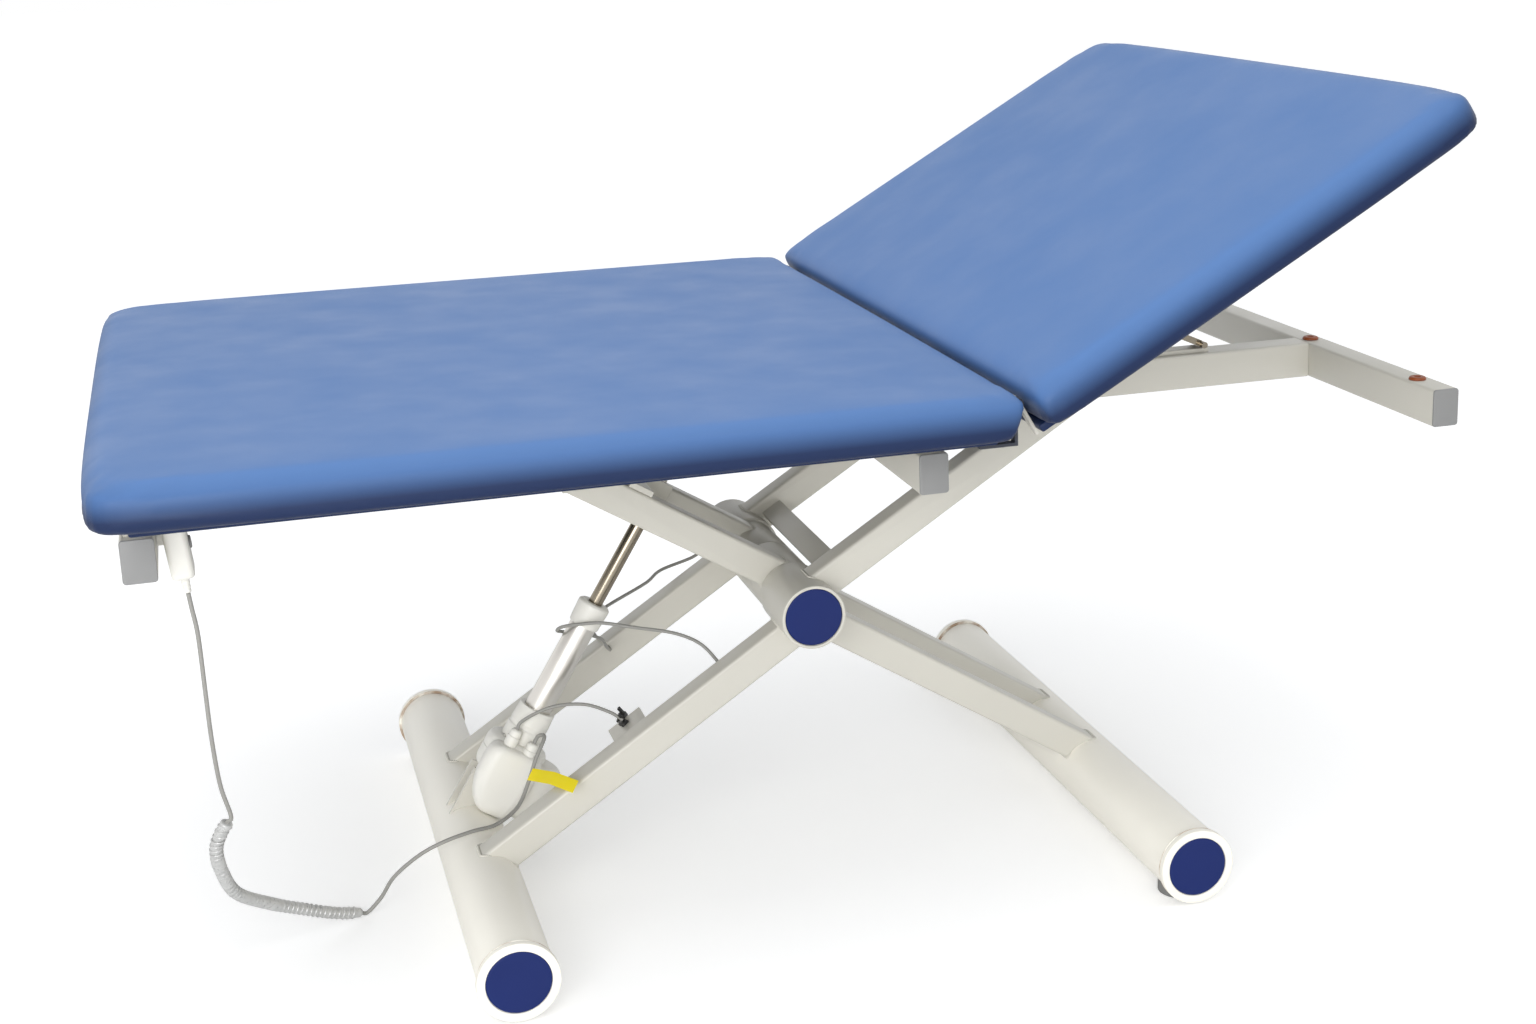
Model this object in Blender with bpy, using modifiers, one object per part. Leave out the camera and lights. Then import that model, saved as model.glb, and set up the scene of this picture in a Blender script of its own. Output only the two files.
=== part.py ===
"""Height-adjustable two-section treatment table on a scissor base. Metres, +Z up, +X to the head end."""

import math

import bmesh
import bpy
from mathutils import Matrix, Vector

OBJECT_NAME = "treatment_table"

# Clearances
SEAT_GAP = 0.0003
RUN_GAP = 0.0006
CUT_OVER = 0.004

# Round work
SIDES = 32
SMALL_SIDES = 20

# Upholstered top
OVERALL_LENGTH = 1.84
TOP_WIDTH = 1.20
TOP_HEIGHT = 0.784
SEAT_LENGTH = 1.104
SEAT_END_SLANT = 0.022
BACK_LENGTH = 0.700
BACK_ANGLE = math.radians(29.5)
PAD_THICKNESS = 0.062
PAD_EDGE = 0.052
PAD_CORNER = 0.016
PAD_CROWN = 0.004
PAD_DRAW_IN = 0.007
BOARD_THICKNESS = 0.012
BOARD_INSET = 0.050
HINGE_SLOT = 0.008
HINGE_DEPTH = 0.024

# Hinges between seat and backrest
HINGE_SET_IN = 0.070
HINGE_AT_Y = TOP_WIDTH / 2 - HINGE_SET_IN
LEAF_WIDTH = 0.015
LEAF_THICKNESS = 0.004
LEAF_FOOT = 0.050
LEAF_DROP = 0.056
KNUCKLE_RADIUS = 0.006
HINGE_PIN_RADIUS = 0.003

# Top frame
FRAME_TUBE_WIDTH = 0.040
FRAME_TUBE_HEIGHT = 0.054
POST_HEIGHT = 0.033
POST_SIDE = 0.030
POST_SETBACK = 0.034
CROSS_LENGTH = 0.875
FOOT_CROSS_AT = 0.0533
MID_CROSS_SETBACK = 0.0686
HEAD_BAR_LENGTH = 0.775
CAP_THICKNESS = 0.004
SPINE_WIDTH = 0.050
RACK_WIDTH = 0.030
RACK_HEIGHT = 0.006
RACK_START = 0.190
RACK_LENGTH = 0.330
BUMPER_RADIUS = 0.0125
BUMPER_HEIGHT = 0.005
BUMPER_AT_Y = 0.316
BUMPER_SETBACK = 0.024
RAIL_FLANGE = 0.031
RAIL_WALL = 0.004
RAIL_INNER_FACE = 0.1193
STOP_SIZE = (0.027, 0.020, 0.052)
STOP_AT = 0.608

# Scissor
FOOT_AXIS_AT = 0.450
HEAD_AXIS_AT = 1.394
PIVOT_HEIGHT = 0.406
TOP_PIVOT_REACH = 0.403
TOP_PIVOT_RISE = 0.032
ARM_HEIGHT = 0.046
ARM_WIDTH = 0.040
A_ARM_Y = 0.180
B_ARM_Y = 0.095
LOW_BASE_OFFSET = 0.022
LOW_PIVOT_OFFSET = -0.018
UP_OFFSET = 0.0127
ARM_TAIL = 0.025
SLEEVE_SEAM = 0.120
PIVOT_HALF = 0.240
A_SLEEVE_RADIUS = 0.046
B_SLEEVE_RADIUS = 0.043
AXLE_RADIUS = 0.036
PIVOT_DISC_RADIUS = 0.041
DISC_THICKNESS = 0.0025
DISC_RECESS = 0.004
TOP_SHAFT_RADIUS = 0.010
ROLLER_RADIUS = 0.018
ROLLER_WIDTH = 0.024
ROLLER_AXLE_RADIUS = 0.008
STRIP_SIZE = (0.034, 0.012)
STRIP_AT = 0.066
CABLE_PLATE_SIZE = (0.056, 0.005)
CABLE_PLATE_AT = 0.285

# Base tubes
BASE_LENGTH = 0.969
BASE_TUBE_RADIUS = 0.050
BASE_TUBE_WALL = 0.003
FLANGE_RADIUS = 0.054
FLANGE_THICKNESS = 0.012
FLANGE_CLEARANCE = 0.003
STUB_LENGTH = 0.040
BASE_DISC_RADIUS = 0.0425
PAD_FOOT_RADIUS = 0.0325
PAD_FOOT_HEIGHT = 0.026
PAD_FOOT_TONGUE = 0.030

# Lifting actuator
MOUNT_REACH = 0.085
ROD_PIN_BACK = 0.162
ROD_PIN_RISE = 0.144
MOUNT_CHEEK_GAP = 0.014
MOUNT_CHEEK = 0.005
MOUNT_CHEEK_WIDTH = 0.060
MOUNT_PIN_RADIUS = 0.006
HOUSING_RADIUS = 0.047
HOUSING_SPAN = (0.016, 0.074)
MOTOR_RADIUS = 0.030
MOTOR_SPAN = (-0.030, 0.060)
MOTOR_SIDE = 0.047
MOTOR_NEAR = 0.012
LOWER_COLLAR_RADIUS = 0.030
LOWER_COLLAR_TOP = 0.128
OUTER_TUBE_RADIUS = 0.020
OUTER_TUBE_TOP = 0.290
TOP_COLLAR_RADIUS = 0.0215
TOP_COLLAR_SPAN = (0.268, 0.305)
ROD_RADIUS = 0.0105
ROD_BURIED = 0.072
EYE_RADIUS = 0.013
EYE_HALF_WIDTH = 0.013
ROD_CHEEK_GAP = 0.0165
ROD_CHEEK = 0.005
ROD_PLATE_SIZE = (0.037, 0.008)
ROD_PLATE_START = 0.038

# Backrest frame and prop
BACK_RAIL_SIDE = 0.0275
BACK_RAIL_START = 0.075
BACK_BAR_END = 0.702
PROP_PIVOT_AT = 0.2315
PROP_LENGTH = 0.300
PROP_WIDTH = 0.022
PROP_THICKNESS = 0.012
PROP_PIN_RADIUS = 0.005
PROP_FOOT_HALF = 0.022
PROP_CHEEK = 0.005
PROP_BLOCK_LENGTH = 0.060
PROP_BLOCK_WIDTH = 0.090

# Handset
HANDSET_SIZE = (0.028, 0.048, 0.094)
HANDSET_AT_Y = -0.372
HANDSET_CENTRE_HEIGHT = 0.655
HANDSET_TILT = math.radians(-6.0)
HOOK_THICKNESS = 0.003
HOOK_WIDTH = 0.026
BUTTON_RADIUS = 0.008
BUTTON_HEIGHT = 0.003
BUTTON_RECESS = 0.003
BUTTON_SPACING = 0.030
RELIEF_LENGTH = 0.022
RELIEF_RADII = (0.0055, 0.0042)

# Cords
CORD_RADIUS = 0.0028
LEAD_RADIUS = 0.0025
TAPE_RADIUS = 0.0090
SOCKET_RADIUS = 0.010
SOCKET_ONE = (-0.022, -0.036, 0.060, 0.096)
SOCKET_TWO = (0.008, -0.042, 0.050, 0.088)
FLAG_SIZE = (0.076, 0.0008, 0.020)
FLAG_TILT = math.radians(30.0)

# Heights and stations that follow from the sizes above
FRAME_TOP = TOP_HEIGHT - PAD_THICKNESS - BOARD_THICKNESS - POST_HEIGHT
FRAME_BOTTOM = FRAME_TOP - FRAME_TUBE_HEIGHT
FRAME_MID = FRAME_TOP - FRAME_TUBE_HEIGHT / 2
BOARD_BOTTOM = FRAME_TOP + POST_HEIGHT
PAD_BOTTOM = TOP_HEIGHT - PAD_THICKNESS
AXIS_HEIGHT = FLANGE_RADIUS + FLANGE_CLEARANCE
TOP_PIVOT_HEIGHT = FRAME_BOTTOM + TOP_PIVOT_RISE


def station(from_foot_edge):
    """X of a place measured from the seat's foot edge."""
    return from_foot_edge - OVERALL_LENGTH / 2


FOOT_CROSS_X = station(FOOT_CROSS_AT)
MID_CROSS_X = station(SEAT_LENGTH - MID_CROSS_SETBACK)
HEAD_BAR_X = station(OVERALL_LENGTH - FRAME_TUBE_WIDTH / 2)
HINGE_X = station(SEAT_LENGTH + HINGE_SLOT)
HINGE_Z = TOP_HEIGHT - HINGE_DEPTH
FOOT_AXIS = Vector((station(FOOT_AXIS_AT), 0, AXIS_HEIGHT))
HEAD_AXIS = Vector((station(HEAD_AXIS_AT), 0, AXIS_HEIGHT))
PIVOT = Vector(((FOOT_AXIS.x + HEAD_AXIS.x) / 2, 0, PIVOT_HEIGHT))
TOP_A = Vector((PIVOT.x + TOP_PIVOT_REACH, 0, TOP_PIVOT_HEIGHT))
TOP_B = Vector((PIVOT.x - TOP_PIVOT_REACH, 0, TOP_PIVOT_HEIGHT))
ROD_PIN = Vector((PIVOT.x - ROD_PIN_BACK, 0, PIVOT.z + ROD_PIN_RISE))
ROD_LINE = (ROD_PIN - FOOT_AXIS).normalized()
MOUNT_PIN = FOOT_AXIS + ROD_LINE * MOUNT_REACH
ROD_LENGTH = (ROD_PIN - MOUNT_PIN).length
ROD_TILT = math.atan2(ROD_LINE.x, ROD_LINE.z)
HEAD_BUMPER_X = station(OVERALL_LENGTH) - BUMPER_SETBACK


class Frame:
    """An empty on a joint's axis that carries the pieces of one moving group."""

    def __init__(self, name, place, tilt=0.0, carrier=None):
        self.empty = bpy.data.objects.new(name, None)
        self.origin = Vector(place)
        self.tilted = tilt != 0.0
        bpy.context.scene.collection.objects.link(self.empty)
        self.empty.rotation_euler = (0, tilt, 0)
        self.empty.location = self.origin
        if carrier:
            self.empty.parent = carrier.empty
            if not carrier.tilted:
                self.empty.location = self.origin - carrier.origin

    def carry(self, obj, place):
        """Parents an object. A tilted frame takes places along its own axes, the others world places."""
        obj.parent = self.empty
        obj.location = Vector(place) if self.tilted else Vector(place) - self.origin


class Shop:
    """Makes the pieces, their finishes and their cutters."""

    def __init__(self):
        self.parts = bpy.data.collections.new(OBJECT_NAME)
        self.cutters = bpy.data.collections.new("cutters")
        for group in (self.parts, self.cutters):
            bpy.context.scene.collection.children.link(group)

    def finish(self, name, colour, roughness, metallic=0.0):
        made = bpy.data.materials.new(name)
        made.use_nodes = True
        shader = made.node_tree.nodes["Principled BSDF"]
        shader.inputs["Base Color"].default_value = (*colour, 1)
        shader.inputs["Roughness"].default_value = roughness
        shader.inputs["Metallic"].default_value = metallic
        made.diffuse_color = (*colour, 1)
        return made

    def piece(self, name, data, frame, place, look=None, turn=(0, 0, 0)):
        """Adds one object: a part when it has a finish, else a helper that isn't rendered."""
        obj = bpy.data.objects.new(name, data)
        obj.rotation_euler = turn
        frame.carry(obj, place)
        if look is None:
            self.cutters.objects.link(obj)
            obj.hide_render = True
            obj.display_type = "WIRE"
        else:
            self.parts.objects.link(obj)
            data.materials.append(look.copy())
            data.materials[0].name = name + "_" + look.name
        return obj


def mesh_from(maker, smooth=False):
    """Runs a bmesh maker and returns its mesh."""
    work = bmesh.new()
    maker(work)
    bmesh.ops.recalc_face_normals(work, faces=work.faces)
    data = bpy.data.meshes.new("shape")
    work.to_mesh(data)
    work.free()
    for face in data.polygons:
        face.use_smooth = smooth
    return data


def box(size, rounding=0.0, steps=1):
    """A box about its centre, with its edges rounded where asked."""

    def make(work):
        bmesh.ops.create_cube(work, size=1.0)
        bmesh.ops.scale(work, vec=size, verts=work.verts)
        if rounding:
            bmesh.ops.bevel(work, geom=work.edges, offset=rounding, segments=steps, profile=0.5, affect="EDGES")

    return mesh_from(make)


def rod(radius, length, sides=SIDES, top_radius=None, along="Y"):
    """A round bar about its centre, along Y or Z."""
    turn = Matrix.Rotation(math.radians(90), 4, "X") if along == "Y" else Matrix.Identity(4)

    def make(work):
        bmesh.ops.create_cone(
            work, cap_ends=True, segments=sides, radius1=radius,
            radius2=radius if top_radius is None else top_radius, depth=length, matrix=turn,
        )

    return mesh_from(make)


def smooth_sides(obj):
    """Smooth shading that keeps the sharp rims of round work."""
    for face in obj.data.polygons:
        face.use_smooth = True
    obj.data.set_sharp_from_angle(angle=math.radians(35))


def turned(profile, ring=False, sides=SIDES):
    """A profile of (radius, height) pairs for a Screw about Z. A ring's profile is closed."""
    data = bpy.data.meshes.new("profile")
    count = len(profile)
    edges = [(i, i + 1) for i in range(count - 1)]
    if ring:
        edges.append((count - 1, 0))
    data.from_pydata([(radius, 0, height) for radius, height in profile], edges, [])
    return data


def screw(obj, sides=SIDES):
    """Turns a profile about its own Z."""
    turn = obj.modifiers.new("Turn", "SCREW")
    turn.steps = sides
    turn.render_steps = sides
    turn.use_merge_vertices = True
    turn.merge_threshold = 0.00001
    turn.use_smooth_shade = True
    return obj


def combine(obj, other, operation):
    """One exact Boolean."""
    made = obj.modifiers.new(operation.title(), "BOOLEAN")
    made.operation = operation
    made.solver = "EXACT"
    made.object = other


def cushion(shop, name, length, slant, frame, place, look):
    """A crowned pad from a coarse cage, scaled so that its surface has the wanted size."""
    half = TOP_WIDTH / 2
    xs = [0, PAD_EDGE, length / 2, length - PAD_EDGE, length]
    ys = [-half, PAD_EDGE - half, 0, half - PAD_EDGE, half]
    zs = [0, PAD_THICKNESS / 2, PAD_THICKNESS]
    points = {}

    def corner(work, i, j, k):
        if (i, j, k) in points:
            return points[i, j, k]
        x, y, z = xs[i], ys[j], zs[k]
        rim_x, rim_y = i in (0, 4), j in (0, 4)
        inward = PAD_DRAW_IN if k == 0 else 0
        inward += PAD_CORNER if rim_x and rim_y else 0
        if rim_x:
            x += inward if i == 0 else -inward
        if rim_y:
            y += inward if j == 0 else -inward
        if i == 4:
            x -= slant * (1 - z / PAD_THICKNESS)
        if k == 2 and not rim_x and not rim_y:
            z += PAD_CROWN
        points[i, j, k] = work.verts.new((x, y, z))
        return points[i, j, k]

    def make(work):
        for k in (0, 2):
            for i in range(4):
                for j in range(4):
                    square = ((i, j), (i + 1, j), (i + 1, j + 1), (i, j + 1))
                    work.faces.new([corner(work, a, b, k) for a, b in square])
        for k in range(2):
            for n in range(4):
                for i in (0, 4):
                    square = ((n, k), (n + 1, k), (n + 1, k + 1), (n, k + 1))
                    work.faces.new([corner(work, i, a, b) for a, b in square])
                    work.faces.new([corner(work, a, i, b) for a, b in square])

    obj = shop.piece(name, mesh_from(make, smooth=True), frame, place, look)
    soften = obj.modifiers.new("Soften", "SUBSURF")
    soften.levels = 2
    soften.render_levels = 2
    bpy.context.view_layer.update()
    shaped = obj.evaluated_get(bpy.context.evaluated_depsgraph_get()).to_mesh()
    low = [min(vert.co[axis] for vert in shaped.vertices) for axis in range(3)]
    high = [max(vert.co[axis] for vert in shaped.vertices) for axis in range(3)]
    want_low = (0, -half, 0)
    want_high = (length, half, PAD_THICKNESS)
    for vert in obj.data.vertices:
        for axis in range(3):
            share = (vert.co[axis] - low[axis]) / (high[axis] - low[axis])
            vert.co[axis] = want_low[axis] + share * (want_high[axis] - want_low[axis])
    return obj


def smooth_route(points, count):
    """Points read along a smooth curve through a route's own points."""
    route = [Vector(point) for point in points]
    ends = [2 * route[0] - route[1]] + route + [2 * route[-1] - route[-2]]
    spans = len(route) - 1
    made = []
    for step in range(count):
        place = step * spans / (count - 1)
        span = min(int(place), spans - 1)
        t = place - span
        a, b, c, d = ends[span:span + 4]
        made.append(
            0.5 * (2 * b + (c - a) * t + (2 * a - 5 * b + 4 * c - d) * t * t
                   + (3 * b - a - 3 * c + d) * t * t * t)
        )
    return made


def cord(shop, name, points, radius, count, frame, look):
    """A round cord along a route of world places."""
    data = bpy.data.curves.new(name, "CURVE")
    data.dimensions = "3D"
    data.bevel_depth = radius
    data.bevel_resolution = 2
    data.use_fill_caps = True
    line = data.splines.new("POLY")
    route = smooth_route(points, count)
    line.points.add(count - 1)
    turn = Matrix.Rotation(-frame.empty.rotation_euler.y, 3, "Y")
    for target, point in zip(line.points, route):
        target.co = (*(turn @ (point - frame.origin)), 1)
    line.use_smooth = True
    return shop.piece(name, data, frame, (0, 0, 0) if frame.tilted else frame.origin, look)


def side_name(side):
    """Near is -Y, far is +Y."""
    return "near" if side < 0 else "far"


def outward(side):
    """Turns a profile's Z outward along Y."""
    return (math.radians(-90 * side), 0, 0)


def base_end(shop, label, axis, side, frame, enamel, blue, rubber):
    """The plug, disc and floor pad at one end of a base tube."""
    where = f"{label}_%s_{side_name(side)}"
    inner = BASE_LENGTH / 2 - FLANGE_THICKNESS
    stub = BASE_TUBE_RADIUS - BASE_TUBE_WALL - RUN_GAP
    recess = FLANGE_THICKNESS - DISC_RECESS
    soft = 0.002
    plug = turned([
        (0, recess),
        (BASE_DISC_RADIUS + SEAT_GAP, recess),
        (BASE_DISC_RADIUS + SEAT_GAP, FLANGE_THICKNESS),
        (FLANGE_RADIUS - soft, FLANGE_THICKNESS),
        (FLANGE_RADIUS, FLANGE_THICKNESS - soft),
        (FLANGE_RADIUS, 0),
        (stub, 0),
        (stub, -STUB_LENGTH),
        (0, -STUB_LENGTH),
    ])
    place = Vector((axis.x, side * inner, axis.z))
    screw(shop.piece(where % "plug", plug, frame, place, enamel, outward(side)))
    disc = turned([
        (0, DISC_THICKNESS),
        (BASE_DISC_RADIUS - soft / 2, DISC_THICKNESS),
        (BASE_DISC_RADIUS, DISC_THICKNESS - soft / 2),
        (BASE_DISC_RADIUS, 0),
        (0, 0),
    ])
    face = Vector((axis.x, side * (inner + recess + SEAT_GAP), axis.z))
    screw(shop.piece(where % "disc", disc, frame, face, blue, outward(side)))
    reach = inner - RUN_GAP - PAD_FOOT_RADIUS - PAD_FOOT_TONGUE / 3
    foot = shop.piece(
        where % "pad", rod(PAD_FOOT_RADIUS, PAD_FOOT_HEIGHT, along="Z"), frame,
        (axis.x, side * reach, PAD_FOOT_HEIGHT / 2), rubber,
    )
    tongue_length = inner - SEAT_GAP - reach
    tongue = shop.piece(
        where % "pad_tongue", box((PAD_FOOT_TONGUE, tongue_length, PAD_FOOT_HEIGHT - 0.002)), frame,
        (axis.x, side * (reach + tongue_length / 2), PAD_FOOT_HEIGHT / 2),
    )
    combine(foot, tongue, "UNION")
    saddle = shop.piece(
        where % "pad_saddle", rod(BASE_TUBE_RADIUS + RUN_GAP, BASE_LENGTH), frame, axis,
    )
    combine(foot, saddle, "DIFFERENCE")
    smooth_sides(foot)


def base_tube(shop, name, axis, frame, enamel):
    """An open round tube along Y."""
    half = BASE_LENGTH / 2 - FLANGE_THICKNESS - RUN_GAP
    bore = BASE_TUBE_RADIUS - BASE_TUBE_WALL
    ring = turned([
        (BASE_TUBE_RADIUS, half), (BASE_TUBE_RADIUS, -half), (bore, -half), (bore, half),
    ], ring=True)
    screw(shop.piece(name, ring, frame, axis, enamel, outward(1)))


def beam(shop, name, start, end, y, frame):
    """A rectangular bar between two places in the XZ plane, as a helper for a weldment."""
    line = end - start
    middle = (start + end) / 2
    return shop.piece(
        name, box((line.length, ARM_WIDTH, ARM_HEIGHT)), frame,
        (middle.x, y, middle.z), None, (0, -math.atan2(line.z, line.x), 0),
    )


def square_to(line):
    """The upward direction square to a line in the XZ plane."""
    up = Vector((-line.z, 0, line.x)).normalized()
    return up if up.z > 0 else -up


def arm_side(shop, letter, side, base, top, frame, enamel):
    """One welded side of a scissor frame: sleeve, lower arm and upper arm."""
    name = f"{letter}_arm_{side_name(side)}"
    is_a = letter == "a"
    y = side * (A_ARM_Y if is_a else B_ARM_Y)
    sleeve_start = SLEEVE_SEAM + SEAT_GAP if is_a else SEAT_GAP / 2
    sleeve_end = PIVOT_HALF if is_a else SLEEVE_SEAM - SEAT_GAP
    radius = A_SLEEVE_RADIUS if is_a else B_SLEEVE_RADIUS
    middle = side * (sleeve_start + sleeve_end) / 2
    arm = shop.piece(
        name, rod(radius, sleeve_end - sleeve_start), frame, (PIVOT.x, middle, PIVOT.z), enamel,
    )
    low_square = square_to(PIVOT - base)
    up_square = square_to(top - PIVOT)
    up_line = (top - PIVOT).normalized()
    low = beam(
        shop, name + "_low", base + low_square * LOW_BASE_OFFSET,
        PIVOT + low_square * LOW_PIVOT_OFFSET, y, frame,
    )
    high = beam(
        shop, name + "_high", PIVOT + up_square * UP_OFFSET,
        top + up_square * UP_OFFSET + up_line * ARM_TAIL, y, frame,
    )
    combine(arm, low, "UNION")
    combine(arm, high, "UNION")
    bore = shop.piece(
        name + "_bore", rod(AXLE_RADIUS + SEAT_GAP, 2 * PIVOT_HALF + CUT_OVER), frame, PIVOT,
    )
    combine(arm, bore, "DIFFERENCE")
    tube = shop.piece(name + "_tube", rod(BASE_TUBE_RADIUS + SEAT_GAP, BASE_LENGTH), frame, base)
    combine(arm, tube, "DIFFERENCE")
    if is_a:
        recess = shop.piece(
            name + "_recess", rod(PIVOT_DISC_RADIUS + SEAT_GAP, 2 * DISC_RECESS), frame,
            (PIVOT.x, side * PIVOT_HALF, PIVOT.z),
        )
        combine(arm, recess, "DIFFERENCE")
    else:
        hole = shop.piece(
            name + "_hole", rod(ROLLER_AXLE_RADIUS + RUN_GAP, PIVOT_HALF, SMALL_SIDES), frame, top,
        )
        combine(arm, hole, "DIFFERENCE")
    smooth_sides(arm)
    return arm


def weld_cross_pieces(shop, arm, frame):
    """Welds the shaft, the brace strip and the cable plate to the near side of the first scissor frame."""
    bite = 0.002
    inner = A_ARM_Y - ARM_WIDTH / 2
    span = 2 * inner - SEAT_GAP + bite
    middle = -(SEAT_GAP + bite) / 2
    up_line = (TOP_A - PIVOT).normalized()
    up_angle = math.atan2(up_line.z, up_line.x)
    low_square = square_to(PIVOT - FOOT_AXIS)
    low_start = FOOT_AXIS + low_square * LOW_BASE_OFFSET
    low_line = (PIVOT + low_square * LOW_PIVOT_OFFSET - low_start).normalized()
    low_angle = math.atan2(low_line.z, low_line.x)
    across = Vector((0, middle, 0))
    shaft = shop.piece("a_arm_shaft", rod(TOP_SHAFT_RADIUS, span, SMALL_SIDES), frame, TOP_A + across)
    strip_at = PIVOT + up_line * STRIP_AT + square_to(up_line) * UP_OFFSET
    strip = bracket_plate(
        shop, "a_arm_strip", (STRIP_SIZE[0], span, STRIP_SIZE[1]), strip_at + across, up_angle, frame,
    )
    plate_at = low_start + low_line * CABLE_PLATE_AT
    plate = bracket_plate(
        shop, "a_arm_plate", (CABLE_PLATE_SIZE[0], span, CABLE_PLATE_SIZE[1]), plate_at + across, low_angle, frame,
    )
    for other in (shaft, strip, plate):
        combine(arm, other, "UNION")
    smooth_sides(arm)


def bracket_plate(shop, name, size, place, angle, frame):
    """A flat helper plate turned in the XZ plane."""
    return shop.piece(name, box(size), frame, place, None, (0, -angle, 0))


def build_base(shop, frames, looks):
    """Both base tubes with their end pieces, and the four scissor sides."""
    enamel, blue, rubber = looks["enamel"], looks["blue"], looks["rubber"]
    for side in (-1, 1):
        base_end(shop, "foot", FOOT_AXIS, side, frames["root"], enamel, blue, rubber)
        base_end(shop, "head", HEAD_AXIS, side, frames["head_base"], enamel, blue, rubber)
        arm = arm_side(shop, "a", side, FOOT_AXIS, TOP_A, frames["a"], enamel)
        if side < 0:
            weld_cross_pieces(shop, arm, frames["a"])
        arm_side(shop, "b", side, HEAD_AXIS, TOP_B, frames["b"], enamel)
    base_tube(shop, "foot_tube", FOOT_AXIS, frames["a"], enamel)
    base_tube(shop, "head_tube", HEAD_AXIS, frames["b"], enamel)
    axle_half = PIVOT_HALF - DISC_RECESS - SEAT_GAP
    smooth_sides(shop.piece("pivot_axle", rod(AXLE_RADIUS, 2 * axle_half), frames["a"], PIVOT, looks["steel"]))
    for side in (-1, 1):
        disc = turned([
            (0, DISC_THICKNESS), (PIVOT_DISC_RADIUS, DISC_THICKNESS), (PIVOT_DISC_RADIUS, 0), (0, 0),
        ])
        place = (PIVOT.x, side * (PIVOT_HALF - DISC_RECESS + SEAT_GAP), PIVOT.z)
        screw(shop.piece(f"pivot_disc_{side_name(side)}", disc, frames["a"], place, blue, outward(side)))
    build_roller(shop, frames["roller"], looks)


def build_roller(shop, frame, looks):
    """The axle with its two pressed-on rollers at the sliding end of the second scissor frame."""
    inner = B_ARM_Y + ARM_WIDTH / 2 + 0.006
    end = inner + ROLLER_WIDTH
    profile = turned([
        (0, end), (ROLLER_RADIUS, end), (ROLLER_RADIUS, inner), (ROLLER_AXLE_RADIUS, inner),
        (ROLLER_AXLE_RADIUS, -inner), (ROLLER_RADIUS, -inner), (ROLLER_RADIUS, -end), (0, -end),
    ])
    screw(shop.piece("roller_axle", profile, frame, TOP_B, looks["grey"], outward(1)), SMALL_SIDES)


def cross_tube(shop, name, x, length, frame, looks, posts):
    """A cross tube of the top frame with its welded seat posts and its two end caps."""
    inner = length - 2 * (CAP_THICKNESS + SEAT_GAP)
    tube = shop.piece(
        name, box((FRAME_TUBE_WIDTH, inner, FRAME_TUBE_HEIGHT), 0.003), frame, (x, 0, FRAME_MID), looks["enamel"],
    )
    for side in (-1, 1):
        shop.piece(
            f"{name}_cap_{side_name(side)}", box((FRAME_TUBE_WIDTH, CAP_THICKNESS, FRAME_TUBE_HEIGHT), 0.0012),
            frame, (x, side * (length - CAP_THICKNESS) / 2, FRAME_MID), looks["grey"],
        )
        if posts:
            sunk = 0.010
            post = shop.piece(
                f"{name}_post_{side_name(side)}",
                box((POST_SIDE, POST_SIDE, POST_HEIGHT - SEAT_GAP + sunk)), frame,
                (x, side * (length / 2 - POST_SETBACK), FRAME_TOP + (POST_HEIGHT - SEAT_GAP - sunk) / 2),
            )
            combine(tube, post, "UNION")
    return tube


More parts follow.
